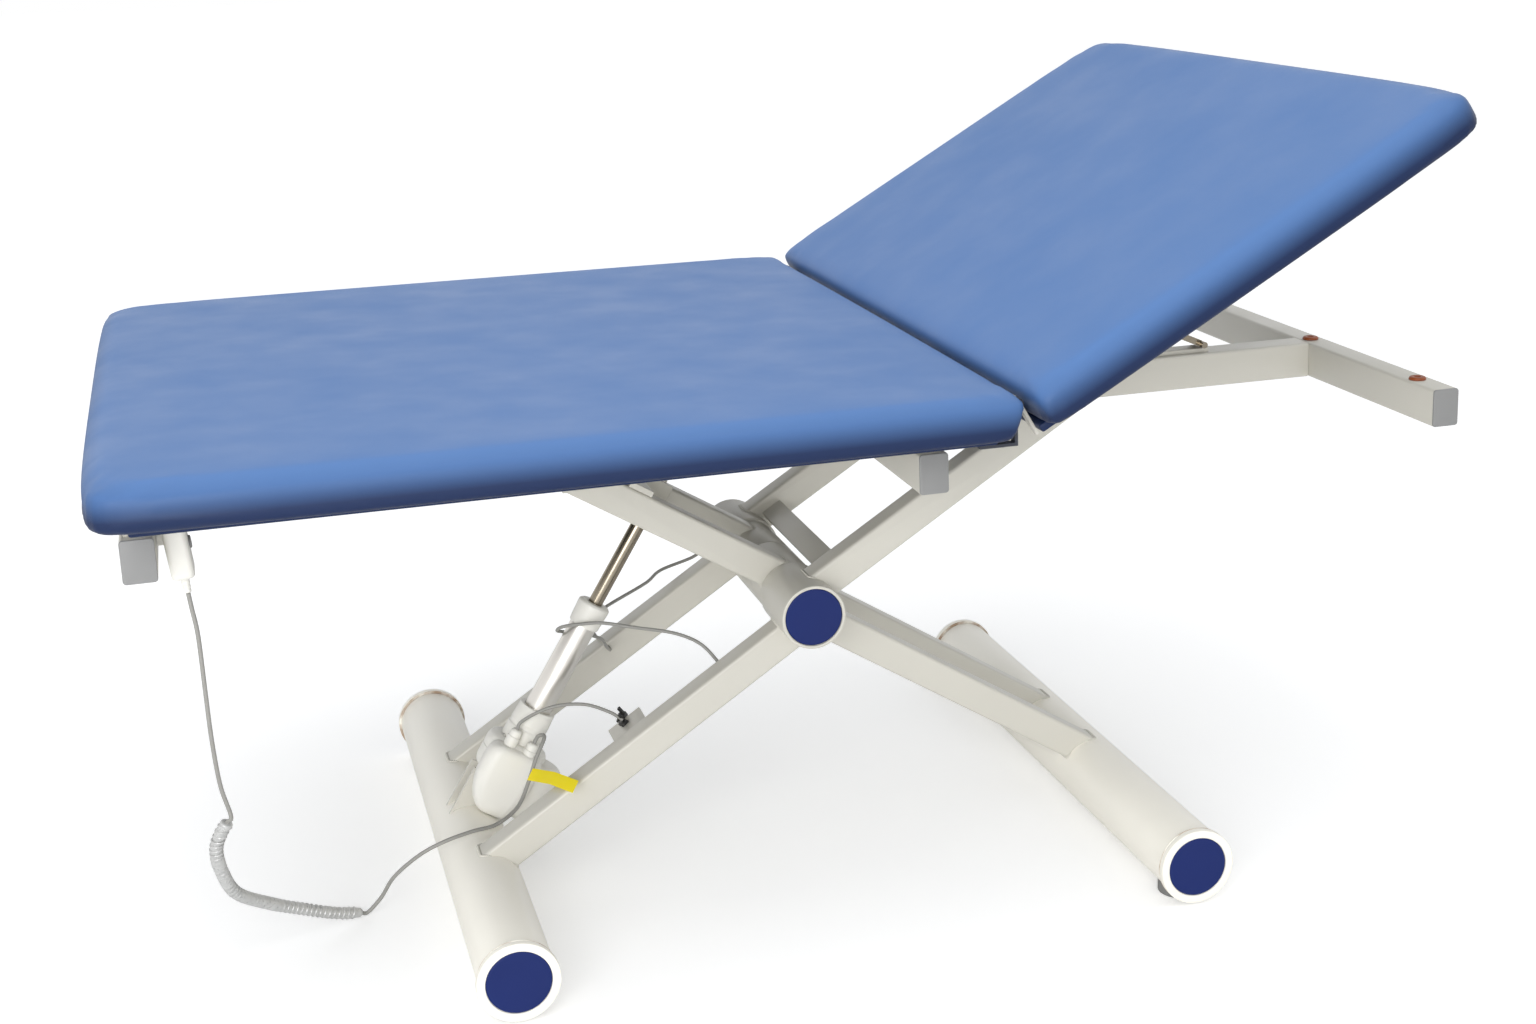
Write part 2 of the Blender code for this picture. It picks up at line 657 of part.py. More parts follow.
def build_top(shop, frames, looks):
    """The top frame, the seat and the rails that the rollers run in."""
    frame, enamel = frames["top"], looks["enamel"]
    cross_tube(shop, "foot_cross_tube", FOOT_CROSS_X, CROSS_LENGTH, frame, looks, True)
    cross_tube(shop, "mid_cross_tube", MID_CROSS_X, CROSS_LENGTH, frame, looks, True)
    bar = cross_tube(shop, "head_bar", HEAD_BAR_X, HEAD_BAR_LENGTH, frame, looks, False)
    for place in (-BUMPER_AT_Y, 0, BUMPER_AT_Y):
        sunk = 0.004
        stud = shop.piece(
            "head_bar_bumper", rod(BUMPER_RADIUS, BUMPER_HEIGHT + sunk, SMALL_SIDES, BUMPER_RADIUS - 0.0015, "Z"),
            frame, (HEAD_BUMPER_X, place, FRAME_TOP + (BUMPER_HEIGHT - sunk) / 2),
        )
        combine(bar, stud, "UNION")
    spine_start = MID_CROSS_X + FRAME_TUBE_WIDTH / 2 + SEAT_GAP
    spine_end = HEAD_BAR_X - FRAME_TUBE_WIDTH / 2 - SEAT_GAP
    spine = shop.piece(
        "spine", box((spine_end - spine_start, SPINE_WIDTH, FRAME_TUBE_HEIGHT), 0.003), frame,
        ((spine_start + spine_end) / 2, 0, FRAME_MID), enamel,
    )
    rack_x = HINGE_X + RACK_START + RACK_LENGTH / 2
    rack = shop.piece(
        "spine_rack", box((RACK_LENGTH, RACK_WIDTH, RACK_HEIGHT + 0.010)), frame,
        (rack_x, 0, FRAME_TOP + (RACK_HEIGHT - 0.010) / 2),
    )
    combine(spine, rack, "UNION")
    hole = shop.piece("spine_hole", rod(TOP_SHAFT_RADIUS + RUN_GAP, PIVOT_HALF, SMALL_SIDES), frame, TOP_A)
    combine(spine, hole, "DIFFERENCE")
    rail_start = FOOT_CROSS_X + FRAME_TUBE_WIDTH / 2 + SEAT_GAP
    rail_end = MID_CROSS_X - FRAME_TUBE_WIDTH / 2 - SEAT_GAP
    channel = 2 * (ROLLER_RADIUS + RUN_GAP)
    for side in (-1, 1):
        rail = shop.piece(
            f"slide_rail_{side_name(side)}", box((rail_end - rail_start, RAIL_FLANGE, channel + 2 * RAIL_WALL)),
            frame, ((rail_start + rail_end) / 2, side * (RAIL_INNER_FACE + RAIL_FLANGE / 2), TOP_B.z), enamel,
        )
        groove = shop.piece(
            f"slide_rail_groove_{side_name(side)}", box((rail_end - rail_start + CUT_OVER, RAIL_FLANGE, channel)),
            frame, ((rail_start + rail_end) / 2, side * (RAIL_INNER_FACE + RAIL_FLANGE / 2 - RAIL_WALL), TOP_B.z),
        )
        combine(rail, groove, "DIFFERENCE")
        stop_y = RAIL_INNER_FACE + RAIL_FLANGE + STOP_SIZE[1] / 2 - 0.002
        stop = shop.piece(
            f"slide_rail_stop_{side_name(side)}", box(STOP_SIZE), frame,
            (station(STOP_AT), side * stop_y, TOP_B.z - STOP_SIZE[2] / 2),
        )
        combine(rail, stop, "UNION")
    board_length = SEAT_LENGTH - SEAT_END_SLANT - BOARD_INSET
    shop.piece(
        "seat_board", box((board_length, TOP_WIDTH - 2 * BOARD_INSET, BOARD_THICKNESS - 2 * SEAT_GAP)), frame,
        (station(BOARD_INSET + board_length / 2), 0, BOARD_BOTTOM + BOARD_THICKNESS / 2), looks["board"],
    )
    cushion(
        shop, "seat_cushion", SEAT_LENGTH, SEAT_END_SLANT, frame, (station(0), 0, PAD_BOTTOM), looks["vinyl"],
    )
    for side in (-1, 1):
        seat_leaf(shop, side, frame, looks["grey"])


def seat_leaf(shop, side, frame, look):
    """The hinge leaf under the seat board, with its knuckle and its pin."""
    name = f"seat_leaf_{side_name(side)}"
    y = side * (HINGE_AT_Y + LEAF_WIDTH / 2 + SEAT_GAP / 2)
    leaf = shop.piece(name, rod(KNUCKLE_RADIUS, LEAF_WIDTH, SMALL_SIDES), frame, (HINGE_X, y, HINGE_Z), look)
    drop = HINGE_Z - BOARD_BOTTOM + SEAT_GAP + LEAF_THICKNESS
    plate_x = HINGE_X - KNUCKLE_RADIUS + LEAF_THICKNESS / 2
    plate = shop.piece(name + "_plate", box((LEAF_THICKNESS, LEAF_WIDTH - 0.0004, drop)), frame, (plate_x, y, HINGE_Z - drop / 2))
    foot_z = BOARD_BOTTOM - SEAT_GAP - LEAF_THICKNESS / 2
    foot = shop.piece(
        name + "_foot", box((LEAF_FOOT, LEAF_WIDTH - 0.0008, LEAF_THICKNESS)), frame,
        (plate_x - LEAF_FOOT / 2 + LEAF_THICKNESS / 2 - 0.0001, y, foot_z),
    )
    pin = shop.piece(
        name + "_pin", rod(HINGE_PIN_RADIUS, 2 * LEAF_WIDTH, SMALL_SIDES), frame,
        (HINGE_X, side * HINGE_AT_Y, HINGE_Z),
    )
    for other in (plate, foot, pin):
        combine(leaf, other, "UNION")
    smooth_sides(leaf)


def build_back(shop, frames, looks):
    """The backrest, which turns about the hinges, and its prop."""
    frame = frames["back"]
    under = PAD_BOTTOM - HINGE_Z
    cushion(shop, "back_cushion", BACK_LENGTH, 0.0, frame, (HINGE_SLOT, 0, under), looks["vinyl"])
    board_start = LEAF_THICKNESS + 0.002 + SEAT_GAP
    board_length = HINGE_SLOT + BACK_LENGTH - BOARD_INSET - board_start
    board_z = under - BOARD_THICKNESS / 2
    shop.piece(
        "back_board", box((board_length, TOP_WIDTH - 2 * BOARD_INSET, BOARD_THICKNESS - 2 * SEAT_GAP)), frame,
        (board_start + board_length / 2, 0, board_z), looks["board"],
    )
    for side in (-1, 1):
        back_leaf(shop, side, frame, looks["grey"])
    rail_z = under - BOARD_THICKNESS - BACK_RAIL_SIDE / 2
    rail_length = BACK_BAR_END - BACK_RAIL_START
    for side in (-1, 1):
        shop.piece(
            f"back_rail_{side_name(side)}", box((rail_length, BACK_RAIL_SIDE, BACK_RAIL_SIDE - SEAT_GAP), 0.002), frame,
            (BACK_RAIL_START + rail_length / 2, side * BUMPER_AT_Y, rail_z), looks["enamel"],
        )
    pivot_z = prop_pivot_z()
    base_z = under - BOARD_THICKNESS - SEAT_GAP
    block = shop.piece(
        "prop_block", box((PROP_BLOCK_LENGTH, PROP_BLOCK_WIDTH, PROP_CHEEK)), frame,
        (PROP_PIVOT_AT, 0, base_z - PROP_CHEEK / 2), looks["enamel"],
    )
    cheek_height = base_z - pivot_z + PROP_THICKNESS / 2 - 0.0024
    for side in (-1, 1):
        cheek = shop.piece(
            f"prop_block_cheek_{side_name(side)}", box((0.016, PROP_CHEEK, cheek_height)), frame,
            (PROP_PIVOT_AT, side * (PROP_WIDTH / 2 + RUN_GAP + PROP_CHEEK / 2), base_z - 0.001 - cheek_height / 2),
        )
        combine(block, cheek, "UNION")
    hole = shop.piece(
        "prop_block_hole", rod(PROP_PIN_RADIUS / 2 + RUN_GAP, 0.2, SMALL_SIDES), frame, (PROP_PIVOT_AT, 0, pivot_z),
    )
    combine(block, hole, "DIFFERENCE")
    build_prop(shop, frames["prop"], looks)


def prop_pivot_z():
    """Height of the prop's hinge below the backrest's axis, along the backrest's own square."""
    return FRAME_TOP + RACK_HEIGHT + PROP_PIN_RADIUS + RUN_GAP - HINGE_Z


def build_prop(shop, frame, looks):
    """The prop bar that stands between the backrest and the rack on the spine."""
    bar = shop.piece(
        "back_prop", box((PROP_LENGTH, PROP_WIDTH, PROP_THICKNESS - 0.002)), frame, (PROP_LENGTH / 2, 0, 0), looks["steel"],
    )
    half = PROP_WIDTH / 2 + PROP_CHEEK + RUN_GAP
    pin = shop.piece("back_prop_pin", rod(PROP_PIN_RADIUS / 2, 2 * half, SMALL_SIDES), frame, (0, 0, 0))
    boss = shop.piece("back_prop_boss", rod(PROP_PIN_RADIUS, PROP_WIDTH - 0.0004, SMALL_SIDES), frame, (0, 0, 0))
    foot = shop.piece("back_prop_foot", rod(PROP_PIN_RADIUS, 2 * PROP_FOOT_HALF, SMALL_SIDES), frame, (PROP_LENGTH, 0, 0))
    for other in (boss, pin, foot):
        combine(bar, other, "UNION")
    smooth_sides(bar)


def back_leaf(shop, side, frame, look):
    """The hinge leaf on the end of the back board, with its knuckle."""
    name = f"back_leaf_{side_name(side)}"
    y = side * (HINGE_AT_Y - LEAF_WIDTH / 2 - SEAT_GAP / 2)
    leaf = shop.piece(name, rod(KNUCKLE_RADIUS, LEAF_WIDTH, SMALL_SIDES), frame, (0, y, 0), look)
    plate = shop.piece(
        name + "_plate", box((LEAF_THICKNESS, LEAF_WIDTH - 0.0004, LEAF_DROP)), frame,
        (0.002 + LEAF_THICKNESS / 2, y, -LEAF_DROP / 2),
    )
    combine(leaf, plate, "UNION")
    bore = shop.piece(
        name + "_bore", rod(HINGE_PIN_RADIUS + RUN_GAP, 2 * LEAF_WIDTH, SMALL_SIDES), frame, (0, y, 0),
    )
    combine(leaf, bore, "DIFFERENCE")
    smooth_sides(leaf)


def build_actuator(shop, frames, looks):
    """The lifting actuator along its own line, and the brackets that hold it."""
    frame, plastic = frames["actuator"], looks["plastic"]
    low, high = HOUSING_SPAN
    housing = shop.piece(
        "motor_housing", rod(HOUSING_RADIUS, high - low, along="Z"), frame, (0, 0, (low + high) / 2), plastic,
    )
    soften = housing.modifiers.new("Soften", "BEVEL")
    soften.width = 0.010
    soften.segments = 3
    soften.angle_limit = math.radians(40)
    tail = shop.piece(
        "motor_tail", box((0.026, 2 * MOUNT_CHEEK_GAP - 2 * RUN_GAP, low + 0.026)), frame, (0, 0, (low + 0.010) / 2 - 0.003),
    )
    low, high = MOTOR_SPAN
    motor = shop.piece(
        "motor_barrel", rod(MOTOR_RADIUS, high - low, along="Z"), frame, (MOTOR_SIDE, -MOTOR_NEAR, (low + high) / 2),
    )
    rounding = motor.modifiers.new("Soften", "BEVEL")
    rounding.width = 0.008
    rounding.segments = 2
    rounding.angle_limit = math.radians(40)
    low = HOUSING_SPAN[1] - 0.012
    collar = shop.piece(
        "motor_collar", rod(LOWER_COLLAR_RADIUS, LOWER_COLLAR_TOP - low, along="Z", top_radius=LOWER_COLLAR_RADIUS - 0.003),
        frame, (0, 0, (low + LOWER_COLLAR_TOP) / 2),
    )
    for other in (tail, motor, collar):
        combine(housing, other, "UNION")
    for number, (across, y, start, end) in enumerate((SOCKET_ONE, SOCKET_TWO)):
        socket = shop.piece(
            f"motor_socket_{number}", rod(SOCKET_RADIUS, end - start, SMALL_SIDES, along="Z"), frame, (across, y, (start + end) / 2),
        )
        combine(housing, socket, "UNION")
    seat = LOWER_COLLAR_TOP - 0.040
    bore = shop.piece(
        "motor_bore", rod(OUTER_TUBE_RADIUS + SEAT_GAP, 0.200, along="Z"), frame, (0, 0, seat + 0.100),
    )
    combine(housing, bore, "DIFFERENCE")
    pin_hole = shop.piece("motor_pin_hole", rod(MOUNT_PIN_RADIUS + RUN_GAP, 0.200, SMALL_SIDES), frame, (0, 0, 0))
    combine(housing, pin_hole, "DIFFERENCE")
    smooth_sides(housing)
    inner = ROD_RADIUS + RUN_GAP
    foot = seat + SEAT_GAP
    start, end = TOP_COLLAR_SPAN
    collar_radius = TOP_COLLAR_RADIUS + 0.003
    tube = turned([
        (inner, end), (collar_radius - 0.002, end), (collar_radius, end - 0.004), (collar_radius, start),
        (OUTER_TUBE_RADIUS, start), (OUTER_TUBE_RADIUS, foot), (inner, foot),
    ], ring=True)
    screw(shop.piece("outer_tube", tube, frame, (0, 0, 0), looks["aluminium"]))
    rod_frame = frames["rod"]
    foot = ROD_LENGTH - OUTER_TUBE_TOP + ROD_BURIED
    stick = shop.piece(
        "lift_rod", rod(ROD_RADIUS, foot - 0.006, along="Z"), rod_frame, (0, 0, -foot / 2 - 0.003), looks["steel"],
    )
    eye = shop.piece("lift_rod_eye", rod(EYE_RADIUS, 2 * EYE_HALF_WIDTH, SMALL_SIDES), rod_frame, (0, 0, 0))
    pin = shop.piece("lift_rod_pin", rod(EYE_RADIUS / 2, 2 * (ROD_CHEEK_GAP - 0.001), SMALL_SIDES), rod_frame, (0, 0, 0))
    combine(stick, eye, "UNION")
    combine(stick, pin, "UNION")
    smooth_sides(stick)
    build_brackets(shop, frames, looks["enamel"])


def build_brackets(shop, frames, enamel):
    """The cheeks on the base tube and the cross bracket on the second scissor frame."""
    angle = math.pi / 2 - ROD_TILT
    reach = MOUNT_REACH + 0.014
    across = Vector((ROD_LINE.z, 0, -ROD_LINE.x))
    middle = FOOT_AXIS + ROD_LINE * reach / 2 - across * (MOUNT_CHEEK_WIDTH / 2 - 0.014)
    cheek_y = MOUNT_CHEEK_GAP + MOUNT_CHEEK / 2
    mount = shop.piece(
        "actuator_mount", box((reach, MOUNT_CHEEK, MOUNT_CHEEK_WIDTH)), frames["a"],
        (middle.x, -cheek_y, middle.z), enamel, (0, -angle, 0),
    )
    other = bracket_plate(
        shop, "actuator_mount_far", (reach, MOUNT_CHEEK, MOUNT_CHEEK_WIDTH), (middle.x, cheek_y, middle.z), angle, frames["a"],
    )
    pin = shop.piece(
        "actuator_mount_pin", rod(MOUNT_PIN_RADIUS, 2 * (MOUNT_CHEEK_GAP + MOUNT_CHEEK + 0.003), SMALL_SIDES), frames["a"], MOUNT_PIN,
    )
    tube = shop.piece("actuator_mount_tube", rod(BASE_TUBE_RADIUS + SEAT_GAP, BASE_LENGTH), frames["a"], FOOT_AXIS)
    combine(mount, other, "UNION")
    combine(mount, pin, "UNION")
    combine(mount, tube, "DIFFERENCE")
    line = (TOP_B - PIVOT).normalized()
    turn = math.atan2(line.z, line.x)
    up = square_to(line)
    along = (ROD_PIN - PIVOT).dot(line) + ROD_PLATE_START + ROD_PLATE_SIZE[0] / 2
    height = UP_OFFSET + ARM_HEIGHT / 2 + SEAT_GAP + ROD_PLATE_SIZE[1] / 2
    plate = shop.piece(
        "rod_mount", box((ROD_PLATE_SIZE[0], 2 * B_ARM_Y + ARM_WIDTH, ROD_PLATE_SIZE[1])), frames["b"],
        PIVOT + line * along + up * height, enamel, (0, -turn, 0),
    )
    length = ROD_PLATE_START + ROD_PLATE_SIZE[0] / 2 + EYE_RADIUS
    cheek_at = ROD_PIN + line * (length / 2 - EYE_RADIUS)
    for side in (-1, 1):
        cheek = bracket_plate(
            shop, f"rod_mount_cheek_{side_name(side)}", (length, ROD_CHEEK, 2 * EYE_RADIUS),
            (cheek_at.x, side * (ROD_CHEEK_GAP + ROD_CHEEK / 2), cheek_at.z), turn, frames["b"],
        )
        combine(plate, cheek, "UNION")


def build_handset(shop, frames, looks):
    """The hand control that hangs on the foot cross tube."""
    frame, plastic = frames["handset"], looks["plastic"]
    thick, wide, tall = HANDSET_SIZE
    body = shop.piece("handset", box(HANDSET_SIZE, 0.005, 2), frame, (0, 0, 0), plastic)
    for number, name in enumerate(("up", "down")):
        place = (thick / 2, 0, tall / 4 - number * BUTTON_SPACING)
        well = shop.piece(
            f"handset_well_{name}", rod(BUTTON_RADIUS + RUN_GAP, 2 * BUTTON_RECESS, SMALL_SIDES, along="Z"), frame, place,
            None, (0, math.radians(90), 0),
        )
        combine(body, well, "DIFFERENCE")
        button = turned([
            (0, BUTTON_HEIGHT), (BUTTON_RADIUS - 0.0015, BUTTON_HEIGHT), (BUTTON_RADIUS, BUTTON_HEIGHT - 0.001),
            (BUTTON_RADIUS, -BUTTON_RECESS / 2), (0, -BUTTON_RECESS / 2),
        ])
        screw(shop.piece(f"button_{name}", button, frames["button_" + name], (0, 0, 0), looks["grey"]), SMALL_SIDES)
    relief = shop.piece(
        "handset_relief", rod(RELIEF_RADII[1], RELIEF_LENGTH + CUT_OVER, SMALL_SIDES, RELIEF_RADII[0], "Z"), frame,
        (0, 0, -tall / 2 - (RELIEF_LENGTH - CUT_OVER) / 2),
    )
    combine(body, relief, "UNION")
    for other in hook_pieces(shop, frames["top"]):
        combine(body, other, "UNION")


def hook_pieces(shop, frame):
    """The helpers of the hook that holds the handset on the foot cross tube."""
    top = FRAME_TOP + SEAT_GAP
    face = FOOT_CROSS_X + FRAME_TUBE_WIDTH / 2 + SEAT_GAP
    drop = 0.034
    over = 0.016
    reach = 0.016
    plate = shop.piece(
        "handset_hook_plate", box((HOOK_THICKNESS, HOOK_WIDTH, drop + HOOK_THICKNESS)), frame,
        (face + HOOK_THICKNESS / 2, HANDSET_AT_Y, top + HOOK_THICKNESS - (drop + HOOK_THICKNESS) / 2),
    )
    lip = shop.piece(
        "handset_hook_lip", box((over + HOOK_THICKNESS, HOOK_WIDTH - 0.0004, HOOK_THICKNESS - 0.0002)), frame,
        (face - over / 2 + HOOK_THICKNESS / 2 - 0.0001, HANDSET_AT_Y, top + HOOK_THICKNESS / 2),
    )
    boss = shop.piece(
        "handset_hook_boss", box((reach, HOOK_WIDTH - 0.004, 0.020)), frame,
        (face + 0.001 + reach / 2, HANDSET_AT_Y, top - 0.016),
    )
    return plate, lip, boss


def from_foot(points):
    """World places of a route given from the seat's foot edge."""
    return [Vector((station(x), y, z)) for x, y, z in points]


def along_rod(across, y, along):
    """World place of a point in the actuator's own axes."""
    side = Vector((ROD_LINE.z, 0, -ROD_LINE.x))
    return MOUNT_PIN + side * across + ROD_LINE * along + Vector((0, y, 0))


def build_cords(shop, frames, looks):
    """The handset cord with its taped stretch and tag, and the two leads of the actuator."""
    thick, wide, tall = HANDSET_SIZE
    turn = Matrix.Rotation(HANDSET_TILT, 3, "Y")
    exit_drop = tall / 2 + 2 * SEAT_GAP + RELIEF_LENGTH
    exit_point = frames["handset"].origin + turn @ Vector((0, 0, -exit_drop))
    below = frames["handset"].origin + turn @ Vector((0, 0, -exit_drop - 0.020))
    y = HANDSET_AT_Y
    tape_start, tape_turn, tape_end = from_foot([(0.118, -0.335, 0.268), (0.108, -0.328, 0.250), (0.280, -0.115, 0.0125)])
    into = (tape_turn - tape_start).normalized()
    straight = 0.012
    hang = [exit_point, below] + from_foot([(0.109, y, 0.530), (0.110, y + 0.006, 0.456), (0.111, y + 0.015, 0.388), (0.115, y + 0.026, 0.323)])
    cord(shop, "cord_upper", hang + [tape_start - into * straight, tape_start - into * 3 * SEAT_GAP], CORD_RADIUS, 26, frames["top"], looks["cord"])
    wrap = [tape_start, tape_turn] + from_foot([
        (0.101, -0.314, 0.224), (0.104, -0.290, 0.184), (0.119, -0.250, 0.132), (0.159, -0.200, 0.087),
        (0.205, -0.163, 0.053), (0.246, -0.135, 0.027),
    ])
    cord(shop, "cord_tape", wrap + [tape_end], TAPE_RADIUS, 32, frames["a"], looks["tape"])
    socket = along_rod(SOCKET_TWO[0], SOCKET_TWO[1], SOCKET_TWO[3] + 2 * SEAT_GAP)
    socket_up = along_rod(SOCKET_TWO[0], SOCKET_TWO[1], SOCKET_TWO[3] + 0.012)
    socket_over = along_rod(SOCKET_TWO[0] + 0.004, SOCKET_TWO[1] - 0.016, SOCKET_TWO[3] + 0.018)
    out = (tape_end - wrap[-1]).normalized()
    lower = [tape_end + out * 3 * SEAT_GAP, tape_end + out * straight] + from_foot([
        (0.310, -0.110, 0.028), (0.330, -0.122, 0.062), (0.366, -0.132, 0.093), (0.402, -0.138, 0.1105), (0.442, -0.128, 0.1150),
        (0.478, -0.112, 0.1130), (0.512, -0.092, 0.126), (0.533, -0.076, 0.157), (0.545, -0.072, 0.186),
    ])
    cord(shop, "cord_lower", lower + [socket_over, socket_up, socket], CORD_RADIUS, 52, frames["a"], looks["cord"])
    flag_y = -0.076 - CORD_RADIUS - 2 * SEAT_GAP - FLAG_SIZE[1] / 2
    shop.piece("cord_flag", box(FLAG_SIZE), frames["a"], (station(0.566), flag_y, 0.150), looks["yellow"], (0, FLAG_TILT, 0))
    start = along_rod(SOCKET_ONE[0], SOCKET_ONE[1], SOCKET_ONE[3] + 2 * SEAT_GAP)
    rise = along_rod(SOCKET_ONE[0], SOCKET_ONE[1], SOCKET_ONE[3] + 0.014)
    lead = [start, rise] + from_foot([(0.575, -0.055, 0.256), (0.620, -0.066, 0.258), (0.655, -0.078, 0.2455), (0.6725, -0.086, 0.2334)])
    cord(shop, "motor_lead", lead, LEAD_RADIUS, 24, frames["actuator"], looks["cord"])
    inner = A_ARM_Y - ARM_WIDTH / 2 - 2 * SEAT_GAP
    loop = from_foot([
        (0.806, -inner, 0.322), (0.805, 0.014 - inner, 0.323), (0.785, -0.120, 0.346), (0.754, -0.088, 0.356), (0.705, -0.058, 0.361), (0.660, -0.034, 0.366),
        (0.627, -0.024, 0.366), (0.605, 0.000, 0.361), (0.616, 0.024, 0.352), (0.646, 0.034, 0.338), (0.672, 0.060, 0.310),
        (0.688, 0.105, 0.280), (0.700, inner - 0.014, 0.260), (0.700, inner, 0.260),
    ])
    cord(shop, "loop_lead", loop, LEAD_RADIUS, 48, frames["actuator"], looks["cord"])


def main():
    """Builds the whole table."""
    for obj in list(bpy.data.objects):
        bpy.data.objects.remove(obj, do_unlink=True)
    shop = Shop()
    looks = {
        "enamel": shop.finish("enamel", (0.72, 0.70, 0.65), 0.35),
        "vinyl": shop.finish("vinyl", (0.11, 0.22, 0.50), 0.45),
        "board": shop.finish("board", (0.02, 0.02, 0.02), 0.7),
        "blue": shop.finish("blue_plastic", (0.015, 0.03, 0.16), 0.4),
        "grey": shop.finish("grey_plastic", (0.30, 0.30, 0.30), 0.5),
        "rubber": shop.finish("rubber", (0.22, 0.22, 0.22), 0.7),
        "plastic": shop.finish("pale_plastic", (0.66, 0.65, 0.61), 0.4),
        "steel": shop.finish("steel", (0.60, 0.60, 0.60), 0.25, 1.0),
        "aluminium": shop.finish("aluminium", (0.70, 0.69, 0.66), 0.35, 1.0),
        "cord": shop.finish("cord", (0.45, 0.44, 0.42), 0.5),
        "tape": shop.finish("tape", (0.45, 0.45, 0.46), 0.35),
        "yellow": shop.finish("yellow", (0.95, 0.65, 0.0), 0.4),
    }
    root = Frame("root", (0, 0, 0))
    frames = {"root": root}
    frames["a"] = Frame("lift_axis", FOOT_AXIS, carrier=root)
    frames["b"] = Frame("scissor_axis", PIVOT, carrier=frames["a"])
    frames["head_base"] = Frame("head_base_axis", HEAD_AXIS, carrier=frames["b"])
    frames["roller"] = Frame("roller_axis", TOP_B, carrier=frames["b"])
    frames["top"] = Frame("top_axis", TOP_A, carrier=frames["a"])
    hinge = Vector((HINGE_X, 0, HINGE_Z))
    frames["back"] = Frame("back_axis", hinge, -BACK_ANGLE, frames["top"])
    prop_height = PROP_PIVOT_AT * math.sin(BACK_ANGLE) + prop_pivot_z() * math.cos(BACK_ANGLE)
    foot_height = FRAME_TOP + RACK_HEIGHT + PROP_PIN_RADIUS + RUN_GAP - HINGE_Z
    prop_angle = math.asin((prop_height - foot_height) / PROP_LENGTH)
    frames["prop"] = Frame("prop_axis", (PROP_PIVOT_AT, 0, prop_pivot_z()), BACK_ANGLE + prop_angle, frames["back"])
    frames["actuator"] = Frame("actuator_axis", MOUNT_PIN, ROD_TILT, frames["a"])
    frames["rod"] = Frame("rod_slide", (0, 0, ROD_LENGTH), 1e-9, frames["actuator"])
    handset_x = FOOT_CROSS_X + FRAME_TUBE_WIDTH / 2 + HOOK_THICKNESS + 2 * SEAT_GAP + HANDSET_SIZE[0] / 2 + 0.005
    frames["handset"] = Frame("handset_place", (handset_x, HANDSET_AT_Y, HANDSET_CENTRE_HEIGHT), HANDSET_TILT, frames["top"])
    for number, name in enumerate(("up", "down")):
        rest = (HANDSET_SIZE[0] / 2, 0, HANDSET_SIZE[2] / 4 - number * BUTTON_SPACING)
        frames["button_" + name] = Frame("button_" + name + "_slide", rest, math.radians(90), frames["handset"])
    build_base(shop, frames, looks)
    build_top(shop, frames, looks)
    build_back(shop, frames, looks)
    build_actuator(shop, frames, looks)
    build_handset(shop, frames, looks)
    build_cords(shop, frames, looks)
    bpy.context.view_layer.update()


main()
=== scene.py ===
"""Dressed model of a height-adjustable treatment table with a folding backrest.

Metres, +Z up, +X to the head end.
"""

import logging
import math
from dataclasses import dataclass
from enum import Enum

import bmesh
import bpy
from mathutils import Matrix, Vector
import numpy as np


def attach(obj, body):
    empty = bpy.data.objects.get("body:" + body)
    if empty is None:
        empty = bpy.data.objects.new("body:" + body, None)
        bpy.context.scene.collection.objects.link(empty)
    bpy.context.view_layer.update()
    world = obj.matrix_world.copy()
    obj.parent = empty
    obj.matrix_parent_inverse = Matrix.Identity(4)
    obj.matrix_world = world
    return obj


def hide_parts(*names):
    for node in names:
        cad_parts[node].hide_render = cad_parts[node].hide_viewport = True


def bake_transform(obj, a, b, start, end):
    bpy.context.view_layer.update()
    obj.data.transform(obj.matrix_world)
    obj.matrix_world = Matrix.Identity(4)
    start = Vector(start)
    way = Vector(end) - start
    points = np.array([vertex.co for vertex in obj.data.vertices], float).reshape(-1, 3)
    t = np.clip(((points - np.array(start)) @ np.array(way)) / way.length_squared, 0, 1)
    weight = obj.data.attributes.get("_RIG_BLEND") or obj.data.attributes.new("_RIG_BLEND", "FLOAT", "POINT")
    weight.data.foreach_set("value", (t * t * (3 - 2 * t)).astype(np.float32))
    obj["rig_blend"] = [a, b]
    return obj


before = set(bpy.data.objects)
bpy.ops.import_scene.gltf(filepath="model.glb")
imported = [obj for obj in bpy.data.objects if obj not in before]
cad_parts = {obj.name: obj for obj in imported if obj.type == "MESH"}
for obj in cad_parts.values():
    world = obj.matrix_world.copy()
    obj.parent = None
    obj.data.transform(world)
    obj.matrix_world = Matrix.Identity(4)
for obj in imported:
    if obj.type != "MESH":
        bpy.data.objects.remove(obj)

LOG = logging.getLogger("treatment_table")
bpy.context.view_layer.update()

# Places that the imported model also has
FOOT_AXIS = Vector((-0.470, 0.0, 0.057))
HEAD_AXIS = Vector((0.474, 0.0, 0.057))
PIVOT = Vector((0.002, 0.0, 0.406))
TOP_A = Vector((0.405, 0.0, 0.655))
TOP_B = Vector((-0.401, 0.0, 0.655))
ROD_PIN = Vector((-0.160, 0.0, 0.550))
HINGE = Vector((0.192, 0.0, 0.760))
BACK_ANGLE = math.radians(29.5)
ROD_LINE = (ROD_PIN - FOOT_AXIS).normalized()
MOUNT_PIN = FOOT_AXIS + ROD_LINE * 0.085
ROD_TILT = math.atan2(ROD_LINE.x, ROD_LINE.z)
ROD_LENGTH = (ROD_PIN - MOUNT_PIN).length
FRAME_TOP = 0.677
FRAME_MID = 0.650
FOOT_EDGE_X = -0.92
FOOT_TUBE_X = -0.8667
MID_TUBE_X = 0.1154
HEAD_BAR_X = 0.900
